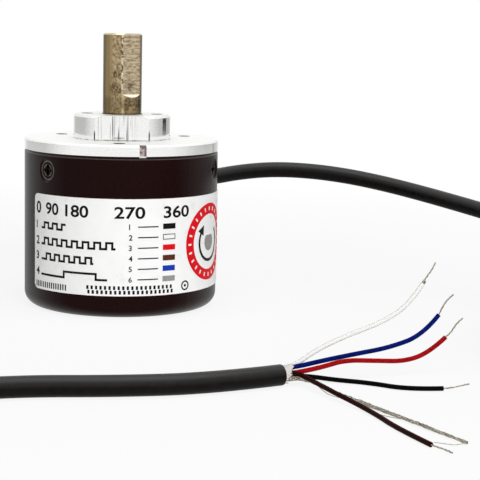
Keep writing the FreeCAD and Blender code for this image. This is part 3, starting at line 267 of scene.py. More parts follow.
# Plain finishes: name, grain in millimetres, tones, roughness, relief in millimetres, sockets, nodes
METAL = {"Metallic": 1.0}
BEARING_STEEL = [f"{end}_bearing_{piece}" for end in ("front", "rear")
                 for piece in ("outer_ring", "inner_ring", "balls", "shields")]
PLAIN_FINISHES = [
    # Glossy white polyester film: even white, very slightly wavy
    ("polyester_label_film", 3.0, ("#f8f8f7", "#fdfdfc"), (0.26, 0.34), 0.003, {}, ["label"]),
    # Moulded rubber: matt black
    ("moulded_black_rubber", 0.4, ("#121111", "#1d1b1b"), (0.5, 0.65), 0.01, {},
     ["cable_grommet", "shaft_seal", "o_ring"]),
    # Nylon: black with a waxy sheen
    ("black_nylon", 0.5, ("#141414", "#202020"), (0.34, 0.46), 0.006, {}, ["coil_ties"]),
    # Hardened steel: pale grey, finely ground
    ("ground_bearing_steel", 0.4, ("#a9abae", "#d4d5d7"), (0.14, 0.24), 0.002, METAL,
     ["bearing_spacer", "bore_retaining_ring"] + BEARING_STEEL),
    # Brass: warm yellow, turned
    ("turned_brass", 0.5, ("#a98443", "#d3b06a"), (0.2, 0.32), 0.003, METAL,
     ["front_bearing_cage", "rear_bearing_cage", "disc_hub", "disc_clamp_ring", "board_standoffs"]),
    # Etched steel foil: even matt grey
    ("etched_steel_foil", 0.3, ("#8f9192", "#b5b6b6"), (0.28, 0.4), 0.002, METAL, ["code_disc"]),
    # Moulded polymer: dull black with a fine moulding grain
    ("moulded_black_polymer", 0.35, ("#161617", "#242425"), (0.4, 0.55), 0.006, {},
     ["emitter_holder", "line_driver_chip", "comparator_chip", "photodetector", "board_resistors"]),
    # Cast epoxy: clear, with a cool edge
    ("clear_epoxy", 0.8, ("#dfe8ea", "#eef4f5"), (0.03, 0.07), 0.001, {"Transmission_Weight": 0.85},
     ["emitter_led", "collimator_lens", "reticle"]),
    # Solder mask: green lacquer over woven laminate
    ("green_solder_mask", 0.6, ("#12452a", "#1c6238"), (0.28, 0.4), 0.004, {}, ["circuit_board"]),
    # Drawn aluminium: bright cans
    ("drawn_aluminium", 0.4, ("#b9babb", "#dcdcdc"), (0.2, 0.3), 0.002, METAL, ["board_capacitors"]),
    # Tinned brass: warm grey
    ("tinned_brass", 0.3, ("#bdb7a8", "#dcd8cd"), (0.22, 0.35), 0.003, METAL,
     ["crimp_ferrule", "emitter_leads"]),
    # Zinc plate: cool mid grey
    ("zinc_plated_steel", 0.3, ("#8b8d8e", "#bfc1c2"), (0.25, 0.4), 0.003, METAL,
     ["board_screws", "holder_screws", "hub_set_screws"]),
    # Soft white insulation
    ("pvc_insulation_pigtail", 0.5, ("#d9d8d3", "#efeeea"), (0.38, 0.48), 0.003, {}, ["pigtail_wires"]),
]


def linear(code):
    """Linear colour of an sRGB hex value."""
    parts = [int(code[i:i + 2], 16) / 255 for i in (1, 3, 5)]
    return [c / 12.92 if c <= 0.04045 else ((c + 0.055) / 1.055) ** 2.4 for c in parts] + [1.0]


def add(tree, kind, inputs=None, **settings):
    """Add a node: settings are its properties, inputs its sockets, as values or links."""
    node = tree.nodes.new(kind)
    for name, setting in settings.items():
        setattr(node, name, setting)
    for key, given in (inputs or {}).items():
        if isinstance(given, bpy.types.NodeSocket):
            tree.links.new(given, node.inputs[key])
        else:
            node.inputs[key].default_value = given
    return node


def made(tree, kind, inputs=None, **settings):
    """First output of a new node."""
    return add(tree, kind, inputs, **settings).outputs[0]


def maths(tree, operation, *values):
    """Result of a sum on numbers, each a value or a socket."""
    return made(tree, "ShaderNodeMath", dict(enumerate(values)), operation=operation)


def vector(tree, operation, inputs, output="Vector"):
    """Result of a sum on vectors."""
    return add(tree, "ShaderNodeVectorMath", inputs, operation=operation).outputs[output]


def joined(tree, *values):
    """Vector of up to three numbers."""
    return made(tree, "ShaderNodeCombineXYZ", dict(enumerate(values)))


def apart(tree, place):
    """The three numbers of a vector."""
    return add(tree, "ShaderNodeSeparateXYZ", {0: place}).outputs


def ramp(tree, value, start, end, first=0.0, last=1.0):
    """Value carried from one stretch over to another, and held beyond its ends."""
    return made(tree, "ShaderNodeMapRange", {0: value, 1: start, 2: end, 3: first, 4: last})


def blend(tree, share, first, second):
    """Colour between two colours, each a socket, a linear colour or an sRGB hex value."""
    first, second = [linear(tone) if isinstance(tone, str) else tone for tone in (first, second)]
    return add(tree, "ShaderNodeMix", {0: share, 6: first, 7: second}, data_type="RGBA").outputs[2]


def times(tree, *factors):
    """Product of masks, each a share or a stretch as between takes it."""
    shares = [between(tree, *factor) if isinstance(factor, tuple) else factor for factor in factors]
    product = shares[0]
    for share in shares[1:]:
        product = maths(tree, "MULTIPLY", product, share)
    return product


def between(tree, value, low, high, soft, unit=MM):
    """One inside a stretch of a value, nought outside, with soft ends; in millimetres or another unit."""
    return times(tree, ramp(tree, value, (low - soft) * unit, low * unit),
                 ramp(tree, value, (high + soft) * unit, high * unit))


def coordinates(tree, kind="Object", stretch=None):
    """Texture coordinates of a kind, stretched if asked."""
    place = add(tree, "ShaderNodeTexCoord").outputs[kind]
    if stretch:
        place = made(tree, "ShaderNodeMapping", {"Vector": place, "Scale": stretch})
    return place


def noise(tree, place, size_mm, detail, output=0):
    """Noise with features of a size in millimetres."""
    inputs = {"Vector": place, "Scale": 1 / (size_mm * MM), "Detail": detail}
    return add(tree, "ShaderNodeTexNoise", inputs).outputs[output]


def streaks(tree, size_mm, low, high):
    """Upright streaks of a width in millimetres, as a mask."""
    return ramp(tree, noise(tree, coordinates(tree, stretch=STREAK_STRETCH), size_mm, 2.0), low, high)


def axis_parts(tree):
    """Object coordinates in metres, taken apart, and the distance from the shaft's axis."""
    place = coordinates(tree)
    x, y, z = apart(tree, place)
    flat = vector(tree, "MULTIPLY", {0: place, 1: (1, 1, 0)})
    return x, y, z, vector(tree, "LENGTH", {0: flat}, "Value")


def turn_from_front(tree, x, y):
    """Angle round the shaft's axis from the front towards +X, in radians."""
    return maths(tree, "ARCTAN2", x, times(tree, y, -1.0))


def sideways(tree, x, y, angle):
    """Distance to the right of the shaft's axis, as seen from an angle round it in degrees."""
    turn = radians(angle)
    return maths(tree, "MULTIPLY_ADD", y, sin(turn), times(tree, x, cos(turn)))


def upward(tree):
    """How far a surface looks up: one where it is level, nought where it is upright."""
    return apart(tree, coordinates(tree, "Normal"))[2]


def finish(name, **inputs):
    """New material with one Principled shader; spaces in socket names are written as underscores."""
    material = bpy.data.materials.new(name)
    material.use_nodes = True
    tree = material.node_tree
    shader = tree.nodes["Principled BSDF"]
    for key, given in inputs.items():
        shader.inputs[key.replace("_", " ")].default_value = given
    return material, tree, shader


def grain(tree, shader, size_mm, tones, roughness, relief_mm, stretch=(1, 1, 1), sharp=0.2):
    """Irregular grain: two tones, uneven gloss and relief; returns its strength."""
    height = noise(tree, coordinates(tree, stretch=stretch), size_mm, 3.0)
    strength = ramp(tree, height, 0.5 - sharp, 0.5 + sharp)
    tree.links.new(blend(tree, strength, *tones), shader.inputs["Base Color"])
    tree.links.new(ramp(tree, height, 0.3, 0.7, *roughness), shader.inputs["Roughness"])
    relief = made(tree, "ShaderNodeBump", {"Strength": 0.6, "Distance": relief_mm * MM, "Height": height})
    tree.links.new(relief, shader.inputs["Normal"])
    return strength


def coat(shader, tone, *masks):
    """Lay a tone over a finish, as far as the product of masks says."""
    tree = shader.id_data
    colour = shader.inputs["Base Color"]
    tree.links.new(blend(tree, times(tree, *masks), colour.links[0].from_socket, tone), colour)


def grained(name, size_mm, tones, roughness, relief_mm, **inputs):
    """Material that is all grain."""
    material, tree, shader = finish(name, **inputs)
    grain(tree, shader, size_mm, tones, roughness, relief_mm)
    return material


def gloss_by(tree, shader, value, start, full, least, most):
    """Gloss that grows with a value; the least also stands as the plain number of the socket."""
    shader.inputs["Specular IOR Level"].default_value = least
    tree.links.new(ramp(tree, value, start, full, least, most), shader.inputs["Specular IOR Level"])


def black_anodised_housing():
    """Blasted, black anodised aluminium: black with a brown cast, grey only where it is seen aslant."""
    material, tree, shader = finish("black_anodised_aluminium")
    grain(tree, shader, 0.3, ("#170606", "#1e0b0a"), (0.26, 0.34), 0.004)
    slant = add(tree, "ShaderNodeLayerWeight", {"Blend": 0.5}).outputs["Facing"]
    gloss_by(tree, shader, slant, 0.2, 0.55, 0.05, 0.26)
    # Edge of the mouth: a pale line, painted highlight of that edge catching the light
    _, _, z, _ = axis_parts(tree)
    coat(shader, "#5a504d", (z, RIM_LOW - 0.34, RIM_LOW - 0.2, 0.04), 0.7)
    return material


def black_screws():
    """Black oxide on steel: dark, with pale grey rings round the heads and at the ends of their crosses,
    partly wear and partly painted highlight.
    """
    material, tree, shader = finish("black_oxide_steel", **METAL)
    wear_and_glint = grain(tree, shader, 0.5, ("#120f0e", "#2b2623"), (0.26, 0.42), 0.006)
    x, y, z, radius = axis_parts(tree)
    turn = maths(tree, "SUBTRACT", turn_from_front(tree, x, y), radians(SCREW_ANGLE))
    half_step = radians(SCREW_STEP / 2)
    turn = maths(tree, "WRAP", turn, half_step, -half_step)
    flat = joined(tree, times(tree, turn, radius), maths(tree, "SUBTRACT", z, SCREW_Z * MM))
    out = vector(tree, "LENGTH", {0: flat}, "Value")
    broken = ramp(tree, wear_and_glint, 0.0, 1.0, 0.3, 1.0)
    # Pale rings, broken up by the grain: painted highlight on the head's rim and the cross's ends, with some
    # wear
    for inner, outer in SCREW_RINGS:
        coat(shader, "#8d847e", (out, inner, outer, 0.08), broken)
    return material


def machined_flange():
    """Bare aluminium off the lathe: bright, with fine turning rings and milled streaks on the boss's flat."""
    material, tree, shader = finish("machined_aluminium", **METAL)
    grain(tree, shader, 0.5, ("#f2f2f0", "#fafaf9"), (0.07, 0.12), 0.002)
    x, y, z, radius = axis_parts(tree)
    along = maths(tree, "ADD", radius, z)
    wave = maths(tree, "SINE", times(tree, along, 2 * pi / (TURNING_STEP * MM)))
    coat(shader, "#b9b8b6", ramp(tree, wave, -1.0, 1.0, 0.0, 0.14))
    # Faced surfaces are rougher than the turned walls
    faced = ramp(tree, upward(tree), 0.45, 0.7)
    gloss = shader.inputs["Roughness"].links[0].from_socket
    tree.links.new(ramp(tree, faced, 0.0, 1.0, gloss, 0.55), shader.inputs["Roughness"])
    on_flat = times(tree, (z, BOSS_LOW + 0.05, BOSS_HIGH - 0.05, 0.05),
                    (y, -BOSS_FLAT - 0.05, -BOSS_FLAT + 0.05, 0.02))
    coat(shader, "#9a9da2", streaks(tree, 0.55, 0.54, 0.7), on_flat)
    coat(shader, "#6d6f73", streaks(tree, 0.22, 0.56, 0.66), on_flat, (x, -2.1, 1.7, 0.5))
    # Dark painted shade along the two corners of that flat, low down near its foot
    coat(shader, "#4a4948", (z, BOSS_LOW, BOSS_LOW + 1.4, 0.8),
         (maths(tree, "ABSOLUTE", x), BOSS_CORNER - 0.02, BOSS_CORNER + 0.2, 0.04),
         (y, -BOSS_FLAT - 0.1, -BOSS_FLAT + 0.3, 0.02))
    # Faint painted shade line in the corner at the boss's foot, broken by the milling streaks
    coat(shader, "#a3a19f", (z, BOSS_LOW, BOSS_LOW + 0.16, 0.05),
         (radius, 0.0, BOSS_RADIUS + 0.05, 0.02), streaks(tree, 0.9, 0.7, 0.4))
    # Stained floor of the rim's notch
    mottle = ramp(tree, noise(tree, coordinates(tree), 0.7, 2.0), 0.4, 0.6)
    coat(shader, blend(tree, mottle, "#716463", "#b9adab"),
         (sideways(tree, x, y, NOTCH_ANGLE), -NOTCH_WIDTH / 2 - 0.02, NOTCH_WIDTH / 2 + 0.02, 0.03),
         (radius, 0.0, RIM_RADIUS - 0.1, 0.02), (z, RIM_LOW + 0.3, BOSS_LOW - 0.02, 0.01),
         (y, -RIM_RADIUS, -RIM_RADIUS + 3, 0.02))
    return material


def ground_shaft():
    """Ground steel with a warm film of oil: olive-gold, banded, mottled towards its milled flat; with painted
    shade along its sides and at its foot, and painted highlights at the cutter's run-out and the top edge.
    """
    material, tree, shader = finish("ground_steel_oiled", **METAL)
    speck = grain(tree, shader, 0.42, ("#766244", "#bfab86"), (0.2, 0.34), 0.01, (1, 1, 0.8), 0.16)
    x, y, z, radius = axis_parts(tree)
    # The round's left side is clean: only faint upright grinding bands
    bands = blend(tree, streaks(tree, 1.1, 0.3, 0.7), "#7d6c4c", "#b59e72")
    coat(shader, bands, ramp(tree, x, -1.9 * MM, -2.5 * MM))
    # The milled flat is paler, with cutter marks that run across it
    across = sideways(tree, x, y, FLAT_ANGLE)
    out = sideways(tree, x, y, FLAT_ANGLE - 90)
    marks = ramp(tree, noise(tree, joined(tree, times(tree, across, 0.35), z), 0.42, 3.0), 0.38, 0.6)
    coat(shader, blend(tree, marks, "#97856a", "#d0c0a0"),
         (out, FLAT_FROM_AXIS - 0.02, FLAT_FROM_AXIS + 0.02, 0.01), (z, FLAT_LOW + 0.05, ABOVE_ALL, 0.05))
    # Ragged edge of the flat: dark and bright flecks in turn
    front = between(tree, y, -9, 0, 0.01)
    fleck = blend(tree, ramp(tree, speck, 0.4, 0.6), "#3a2f22", "#efe4cc")
    coat(shader, fleck, (across, FLAT_EDGE - 0.16, FLAT_EDGE + 0.1, 0.06),
         (z, FLAT_LOW + 1, ABOVE_ALL, 0.2), front, 0.75)
    # Darker below the flat, but for a pale line on from that edge
    coat(shader, "#4a381f", ramp(tree, z, (FLAT_LOW + 0.5) * MM, (FLAT_LOW - 0.5) * MM, 0.0, 0.4))
    coat(shader, "#d9c595", (across, FLAT_EDGE - 0.1, FLAT_EDGE + 0.3, 0.1),
         (z, BOSS_HIGH, FLAT_LOW + 1, 0.2), front, 0.5)
    # Darker along the sides, painted shade where the round turns away; a dark line at the foot, painted shade
    # with some oil; and oil in a few blotches
    coat(shader, "#4c3f26", (maths(tree, "ABSOLUTE", x), 3.75, 4.2, 0.5), 0.5)
    coat(shader, "#3b2b15", (z, BOSS_HIGH, BOSS_HIGH + 0.22, 0.1), 0.7)
    thin = ramp(tree, speck, 0.0, 1.0, 0.85, 0.3)
    place = coordinates(tree)
    for middle, size in OIL_BLOTCHES:
        away = vector(tree, "DISTANCE", {0: place, 1: Vector(middle) * MM}, "Value")
        coat(shader, "#40301d", (away, 0.0, size / 2, size), thin)
    # Painted highlights: bright on the run-out where the cutter left the flat, pale on the top edge
    coat(shader, "#fff6e2", (z, FLAT_LOW, FLAT_LOW + SHAFT_RADIUS - FLAT_FROM_AXIS, 0.03),
         (radius, 0.0, SHAFT_RADIUS - 0.05, 0.03))
    coat(shader, "#e6dabd", (z, SHAFT_TOP - 0.3, SHAFT_TOP, 0.05), 0.7)
    return material


def dress(material, *nodes):
    """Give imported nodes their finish."""
    for node in nodes:
        mesh = NODES[node].data
        mesh.materials.clear()
        mesh.materials.append(material)


def dress_all():
    """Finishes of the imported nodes, those inside the housing too."""
    dress(black_anodised_housing(), "housing")
    dress(machined_flange(), "flange")
    dress(ground_shaft(), "shaft")
    dress(black_screws(), "housing_screws")
    for name, size_mm, tones, roughness, relief_mm, inputs, nodes in PLAIN_FINISHES:
        dress(grained(name, size_mm, tones, roughness, relief_mm, **inputs), *nodes)


def new_piece(name, data, *materials):
    """Object in the scene, with its materials."""
    piece = bpy.data.objects.new(name, data)
    bpy.context.scene.collection.objects.link(piece)
    for material in materials:
        data.materials.append(material)
    return piece


def ride(piece):
    """Let a piece ride on the housing."""
    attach(piece, STATOR)
    return piece


def geometry_tree(name, numbers, counts=()):
    """Geometry Nodes tree with named inputs, and their sockets: counts, numbers and a material."""
    kinds = {"Geometry": "Geometry", **dict.fromkeys(counts, "Int"), **dict.fromkeys(numbers, "Float"),
             "Material": "Material"}
    tree = bpy.data.node_groups.new(name, "GeometryNodeTree")
    tree.interface.new_socket("Geometry", in_out="OUTPUT", socket_type="NodeSocketGeometry")
    for title, kind in kinds.items():
        tree.interface.new_socket(title, in_out="INPUT", socket_type=f"NodeSocket{kind}")
    return tree, add(tree, "NodeGroupInput").outputs


def close_tree(tree, geometry, material):
    """End a tree as plain geometry with its material."""
    real = made(tree, "GeometryNodeRealizeInstances", {0: geometry})
    coated = made(tree, "GeometryNodeSetMaterial", {"Geometry": real, "Material": material})
    add(tree, "NodeGroupOutput", {0: coated})


def grown(name, data, tree, wall=0.0, **values):
    """Piece that a Geometry Nodes tree makes from a curve or a mesh, as a plain mesh."""
    seed = new_piece(f"{name}_seed", data)
    if wall:
        thick = seed.modifiers.new("wall", "SOLIDIFY")
        thick.thickness = wall
        thick.offset = 1.0
    shaping = seed.modifiers.new(name, "NODES")
    shaping.node_group = tree
    for socket in tree.interface.items_tree:
        if socket.in_out == "INPUT" and socket.name in values:
            shaping[socket.identifier] = values[socket.name]
    depsgraph = bpy.context.evaluated_depsgraph_get()
    mesh = bpy.data.meshes.new_from_object(seed.evaluated_get(depsgraph), depsgraph=depsgraph)
    mesh.name = name
    bpy.data.objects.remove(seed)
    return new_piece(name, mesh)


def wrap_tree():
    """Bend flat print round the label: x runs along the label, y up it, z out of it."""
    tree, given = geometry_tree("wrap_on_label", LABEL_INPUTS)
    along, up, lift = apart(tree, made(tree, "GeometryNodeInputPosition"))
    turn = maths(tree, "ADD", maths(tree, "DIVIDE", along, given["Radius"]), given["Start"])
    out = maths(tree, "ADD", lift, given["Radius"])
    right = times(tree, out, maths(tree, "SINE", turn))
    back = times(tree, out, maths(tree, "COSINE", turn), -1.0)
    bent = joined(tree, right, back, maths(tree, "ADD", up, given["Low"]))
    moved = made(tree, "GeometryNodeSetPosition", {"Geometry": given["Geometry"], "Position": bent})
    close_tree(tree, moved, given["Material"])
    return tree


def track_tree(wrap):
    """Row of printed bars along the label, like the slits of the code disc."""
    bar_inputs = ["Spacing", "Width", "Height", "Ink", "Left", "Foot"]
    tree, given = geometry_tree("code_track", bar_inputs + LABEL_INPUTS, ["Bars"])
    row = made(tree, "GeometryNodeMeshLine", {
        "Count": given["Bars"], "Start Location": joined(tree, given["Left"], given["Foot"]),
        "Offset": joined(tree, given["Spacing"])})
    size = joined(tree, given["Width"], given["Height"], given["Ink"])
    bar = made(tree, "GeometryNodeMeshCube", {"Size": size})
    bars = made(tree, "GeometryNodeInstanceOnPoints", {"Points": row, "Instance": bar})
    real = made(tree, "GeometryNodeRealizeInstances", {0: bars})
    links = {title: given[title] for title in LABEL_INPUTS + ["Material"]}
    bent = made(tree, "GeometryNodeGroup", {"Geometry": real, **links}, node_tree=wrap)
    close_tree(tree, bent, given["Material"])
    return tree


def strand_tree():
    """Thin strands twisted round a route, closed at both ends."""
    numbers = ["Thickness", "Lay", "Pitch", "Step", "Stray", "Gather"]
    tree, given = geometry_tree("twisted_strands", numbers, ["Strands"])
    line = made(tree, "GeometryNodeResampleCurve", {"Curve": given["Geometry"], "Length": given["Step"]},
                mode="LENGTH")
    copies = add(tree, "GeometryNodeDuplicateElements", {"Geometry": line, "Amount": given["Strands"]},
                 domain="SPLINE")
    number = copies.outputs["Duplicate Index"]
    along = add(tree, "GeometryNodeSplineParameter").outputs
    turns = maths(tree, "ADD", maths(tree, "DIVIDE", along["Length"], given["Pitch"]),
                  maths(tree, "DIVIDE", number, given["Strands"]))
    angle = times(tree, turns, 2 * pi)
    normal = made(tree, "GeometryNodeInputNormal")
    tangent = made(tree, "GeometryNodeInputTangent")
    side = vector(tree, "CROSS_PRODUCT", {0: tangent, 1: normal})
    # Each strand strays a little by itself
    place = made(tree, "GeometryNodeInputPosition")
    spread = vector(tree, "ADD", {0: place, 1: joined(tree, number, number)})
    middle = vector(tree, "SUBTRACT", {0: noise(tree, spread, 4.0, 1.0, "Color"), 1: (0.5, 0.5, 0.5)})
    offset = vector(tree, "SCALE", {0: middle, "Scale": given["Stray"]})
    # The strands gather towards the far end
    loose = maths(tree, "SUBTRACT", 1.0, times(tree, along["Factor"], given["Gather"]))
    lay = times(tree, given["Lay"], loose)
    for way, operation in ((normal, "COSINE"), (side, "SINE")):
        share = times(tree, maths(tree, operation, angle), lay)
        offset = vector(tree, "ADD", {0: offset, 1: vector(tree, "SCALE", {0: way, "Scale": share})})
    moved = made(tree, "GeometryNodeSetPosition", {"Geometry": copies.outputs[0], "Offset": offset})
    section = made(tree, "GeometryNodeCurvePrimitiveCircle", {
        "Resolution": STRAND_SIDES, "Radius": times(tree, given["Thickness"], 0.5)})
    tube = made(tree, "GeometryNodeCurveToMesh", {
        "Curve": moved, "Profile Curve": section, "Fill Caps": True})
    close_tree(tree, tube, given["Material"])
    return tree


def route_curve(name, routes_mm, diameter_mm=0.0):
    """Smooth lines through control points, given in millimetres."""
    curve = bpy.data.curves.new(name, "CURVE")
    curve.dimensions = "3D"
    curve.resolution_u = ROUTE_STEPS
    curve.bevel_depth = diameter_mm / 2 * MM
    curve.bevel_resolution = ROUTE_ROUNDING
    curve.use_fill_caps = True
    for points_mm in routes_mm:
        spline = curve.splines.new("NURBS")
        spline.points.add(len(points_mm) - 1)
        for point, place in zip(spline.points, points_mm):
            point.co = (*(Vector(place) * MM), 1.0)
        spline.order_u = 3
        spline.use_endpoint_u = True
    return curve


def route_points(points_mm):
    """Points of the smooth line, in metres."""
    bare = bpy.data.objects.new("bare_route", route_curve("bare_route", [points_mm]))
    mesh = bpy.data.meshes.new_from_object(bare)
    points = [vertex.co.copy() for vertex in mesh.vertices]
    bpy.data.meshes.remove(mesh)
    bpy.data.curves.remove(bare.data)
    return points


def coil_points():
    """Control points of the put-away turns: in and out by turns, one layer below the other."""
    total = COIL_WHOLE_TURNS * 360 + COIL_IN_ANGLE - COIL_OUT_ANGLE
    layer_angle = (total - COIL_DROP_ANGLE * (len(COIL_LEVELS) - 1)) / len(COIL_LEVELS)
    count = round(total / 360 * COIL_POINTS)
    corner = 1 / cos(pi / COIL_POINTS)
    points = []
    for n in range(1, count):
        gone = total * n / count
        layer = min(int(gone / (layer_angle + COIL_DROP_ANGLE)), len(COIL_LEVELS) - 1)
        within = gone - layer * (layer_angle + COIL_DROP_ANGLE)
        share = min(within / layer_angle, 1.0)
        inward = share if layer % 2 == 0 else 1 - share
        radius = (COIL_OUTER + (COIL_INNER - COIL_OUTER) * inward) * corner
        drop = max(within - layer_angle, 0.0) / COIL_DROP_ANGLE
        level = COIL_LEVELS[layer]
        if drop > 0:
            level += (COIL_LEVELS[layer + 1] - level) * drop
        points.append((*on_circle(COIL_MIDDLE, radius, COIL_IN_ANGLE - gone), level))
    return points


def cut_end():
    """Middle of the cut jacket, the way it points, and the level way across it, in millimetres."""
    cut = Vector(TAIL_ROUTE[-1])
    along = (cut - Vector(TAIL_ROUTE[-2])).normalized()
    return cut, along, UP.cross(along)


def strand_start(left, up):
    """First two points of a wire: inside the jacket, and where it starts to fan out."""
    cut, along, across = cut_end()
    begin = cut + across * left + UP * up
    return [begin - along * WIRE_INSIDE, begin + along * (WRAP_REACH + WIRE_DIA)]


def make_camera():
    """Camera at the photograph's viewing angle."""
    data = bpy.data.cameras.new("camera")
    data.sensor_width = SENSOR_MM
    data.lens = SENSOR_MM * FOCAL_PX / FRAME_PX
    data.clip_start = 0.01
    camera = new_piece("camera", data)
    turn = Matrix.Rotation(radians(-EYE_YAW), 4, "Z")
    tilt = Matrix.Rotation(radians(90 - EYE_DOWN), 4, "X")
    roll = Matrix.Rotation(radians(EYE_ROLL), 4, "Z")
    camera.matrix_world = Matrix.Translation(Vector(EYE_MM) * MM) @ turn @ tilt @ roll
    bpy.context.scene.camera = camera


def studio_ring(tree, turn):
    """Brightness of the studio by direction round the part."""
    ring = add(tree, "ShaderNodeValToRGB", {0: ramp(tree, turn, -pi, pi)})
    while len(ring.color_ramp.elements) < len(STUDIO_RING):
        ring.color_ramp.elements.new(1.0)
    for stop, (angle, bright) in zip(ring.color_ramp.elements, STUDIO_RING):
        stop.position = (angle + 180) / 360
        stop.color = (bright, bright, bright, 1.0)
    return ring.outputs[0]


def make_surroundings():
    """White to the eye; to glossy surfaces a ring of white and grey studio walls under a white ceiling."""
    world = bpy.data.worlds.new("studio")
    bpy.context.scene.world = world
    world.use_nodes = True
    tree = world.node_tree
    fill = tree.nodes["Background"]
    fill.inputs["Color"].default_value = linear(WHITE)
    fill.inputs["Strength"].default_value = STUDIO_FILL
    x, y, z = apart(tree, coordinates(tree, "Generated"))
    ring = studio_ring(tree, turn_from_front(tree, x, y))
    ring = blend(tree, ramp(tree, z, CEILING_START, CEILING_FULL), ring, WHITE)
    walls = made(tree, "ShaderNodeBackground", {"Color": ring, "Strength": 1.0})
    white = made(tree, "ShaderNodeBackground", {"Color": linear(WHITE), "Strength": 1.0})
    path = add(tree, "ShaderNodeLightPath").outputs
    mirrored = maths(tree, "MAXIMUM", path["Is Glossy Ray"], path["Is Transmission Ray"])
    mixed = made(tree, "ShaderNodeMixShader", {0: mirrored, 1: fill.outputs[0], 2: walls})
    mixed = made(tree, "ShaderNodeMixShader", {0: path["Is Camera Ray"], 1: mixed, 2: white})
    tree.links.new(mixed, tree.nodes["World Output"].inputs["Surface"])


def make_floor():
    """Pale floor that fades to white away from the part, keeps its shadow, and mirrors walls and cards."""
    mesh = bpy.data.meshes.new("floor")
    corners = [(x * FLOOR_HALF, y * FLOOR_HALF, FLOOR_Z) for x, y in ((-1, -1), (1, -1), (1, 1), (-1, 1))]
    mesh.from_pydata(corners, [], [(0, 1, 2, 3)])
    material, tree, shader = finish("pale_floor")
    tree.nodes.remove(shader)
    x, y, _, away = axis_parts(tree)
    turn = turn_from_front(tree, x, y)
    near = ramp(tree, away, GLOW_FAR, GLOW_NEAR, 0.0, GLOW_LIFT)
    walls = blend(tree, near, studio_ring(tree, turn), WHITE)
    for left, right, nearest, farthest, tone in CARDS:
        card = times(tree, (turn, left, right, CARD_SOFT, radians(1)),
                     (away, nearest, farthest, CARD_FADE, 1.0))
        walls = blend(tree, card, walls, (tone, tone, tone, 1.0))
    path = add(tree, "ShaderNodeLightPath").outputs
    seen = maths(tree, "MAXIMUM", path["Is Camera Ray"], path["Is Glossy Ray"])
    share = times(tree, ramp(tree, away, FLOOR_NEAR, FLOOR_FAR, FLOOR_SHARE, 1.0), seen)
    lit = made(tree, "ShaderNodeBsdfDiffuse", {"Color": linear("#f6f6f6")})
    tone = blend(tree, path["Is Glossy Ray"], WHITE, walls)
    glow = made(tree, "ShaderNodeEmission", {"Color": tone, "Strength": 1.0})
    mixed = made(tree, "ShaderNodeMixShader", {0: share, 1: lit, 2: glow})
    tree.links.new(mixed, tree.nodes["Material Output"].inputs["Surface"])
    new_piece("floor", mesh, material)


def make_lamps():
    """Soft lamps."""
    for name, place, size, power, mirrored in LAMPS:
        lamp = bpy.data.lights.new(name, "AREA")
        lamp.shape = "DISK"
        lamp.size = size
        lamp.energy = power
        holder = new_piece(name, lamp)
        holder.location = place
        holder.rotation_mode = "QUATERNION"
        holder.rotation_quaternion = (Vector(LAMP_AIM) - Vector(place)).to_track_quat("-Z", "Y")
        holder.visible_glossy = mirrored


def make_cable():
    """The whole cable: out of the grommet, through the put-away coil, to the cut end."""
    # Extruded PVC: satin black with a slightly uneven skin, paler on its upper side through more gloss there,
    # a painted highlight of the top light
    jacket, tree, shader = finish("pvc_jacket_black")
    grain(tree, shader, 1.2, ("#0a0807", "#13100f"), (0.32, 0.42), 0.012)
    gloss_by(tree, shader, upward(tree), 0.0, 0.6, 0.08, 0.34)
    out = Vector((*CABLE_OUT, 0))
    start = out * CABLE_START + UP * CABLE_Z
    leave = out * CABLE_LEAVE + UP * CABLE_Z
    route = route_curve("signal_cable", [[start, leave] + LEAD_ROUTE + coil_points() + TAIL_ROUTE], CABLE_DIA)
    cable = ride(new_piece("signal_cable", route, jacket))
    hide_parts("cable_lead", "cable_coil", "cable_tail")
    return cable, leave * MM


def make_wires():
    """Five insulated wires, fanned out from the cut jacket."""
    slant = sqrt(3) / 2 * WIRE_RING
    places = {"white": (slant, WIRE_RING / 2), "blue": (0, WIRE_RING), "red": (0, 0),
              "black": (slant, -WIRE_RING / 2), "brown": (-slant, WIRE_RING / 2)}
    for colour, route in WIRE_ROUTES.items():
        points = strand_start(*places[colour]) + route
        # Extruded PVC insulation: even colour, soft gloss
        skin = grained(f"pvc_insulation_{colour}", 0.8, WIRE_TONES[colour], (0.45, 0.55), 0.001,
                       Specular_IOR_Level=0.03)
        name = f"core_{colour}"
        wire = ride(new_piece(name, route_curve(name, [points], WIRE_DIA), skin))
        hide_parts(f"wire_{colour}")
        line = route_points(points)


def twisted(name, routes_mm, tree, tinned, strands):
    """Piece of tinned strands along routes, with its table of counts, shares and sizes in millimetres."""
    values = {title: value if title in ("Strands", "Gather") else value * MM
              for title, value in strands.items()}
    return ride(grown(name, route_curve(name, routes_mm), tree, Material=tinned, **values))


def make_tips(tree, tinned):
    """Bare ends: fine tinned strands, twisted together and a little bent."""
    routes = []
    knot = []
    for colour, route in WIRE_ROUTES.items():
        end = Vector(route[-1])
        ahead = (end - Vector(route[-2])).normalized()
        lift = ahead.cross(Vector((0, 1, 0))).normalized()
        aside = UP.cross(ahead).normalized()
        points = [end - ahead * TIP_INSIDE, end]
        waves = TIP_WAVES[colour]
        for part, (up, sidewards) in enumerate(waves, start=1):
            points.append(end + ahead * (TIP_LENGTH * part / len(waves)) + lift * up + aside * sidewards)
        routes.append(points)
        if colour == "white":
            # The white wire's end is wound round with a loose strand
            for n in range(KNOT_POINTS):
                angle = 2 * pi * n / KNOT_POINTS_ROUND
                out = lift * cos(angle) + aside * sin(angle)
                knot.append(end + ahead * (KNOT_RISE * n) + out * KNOT_RADIUS)
    routes.append(knot)
    tips = twisted("bare_ends", routes, tree, tinned, TIP_STRANDS)
    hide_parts("wire_tips")
    return tips


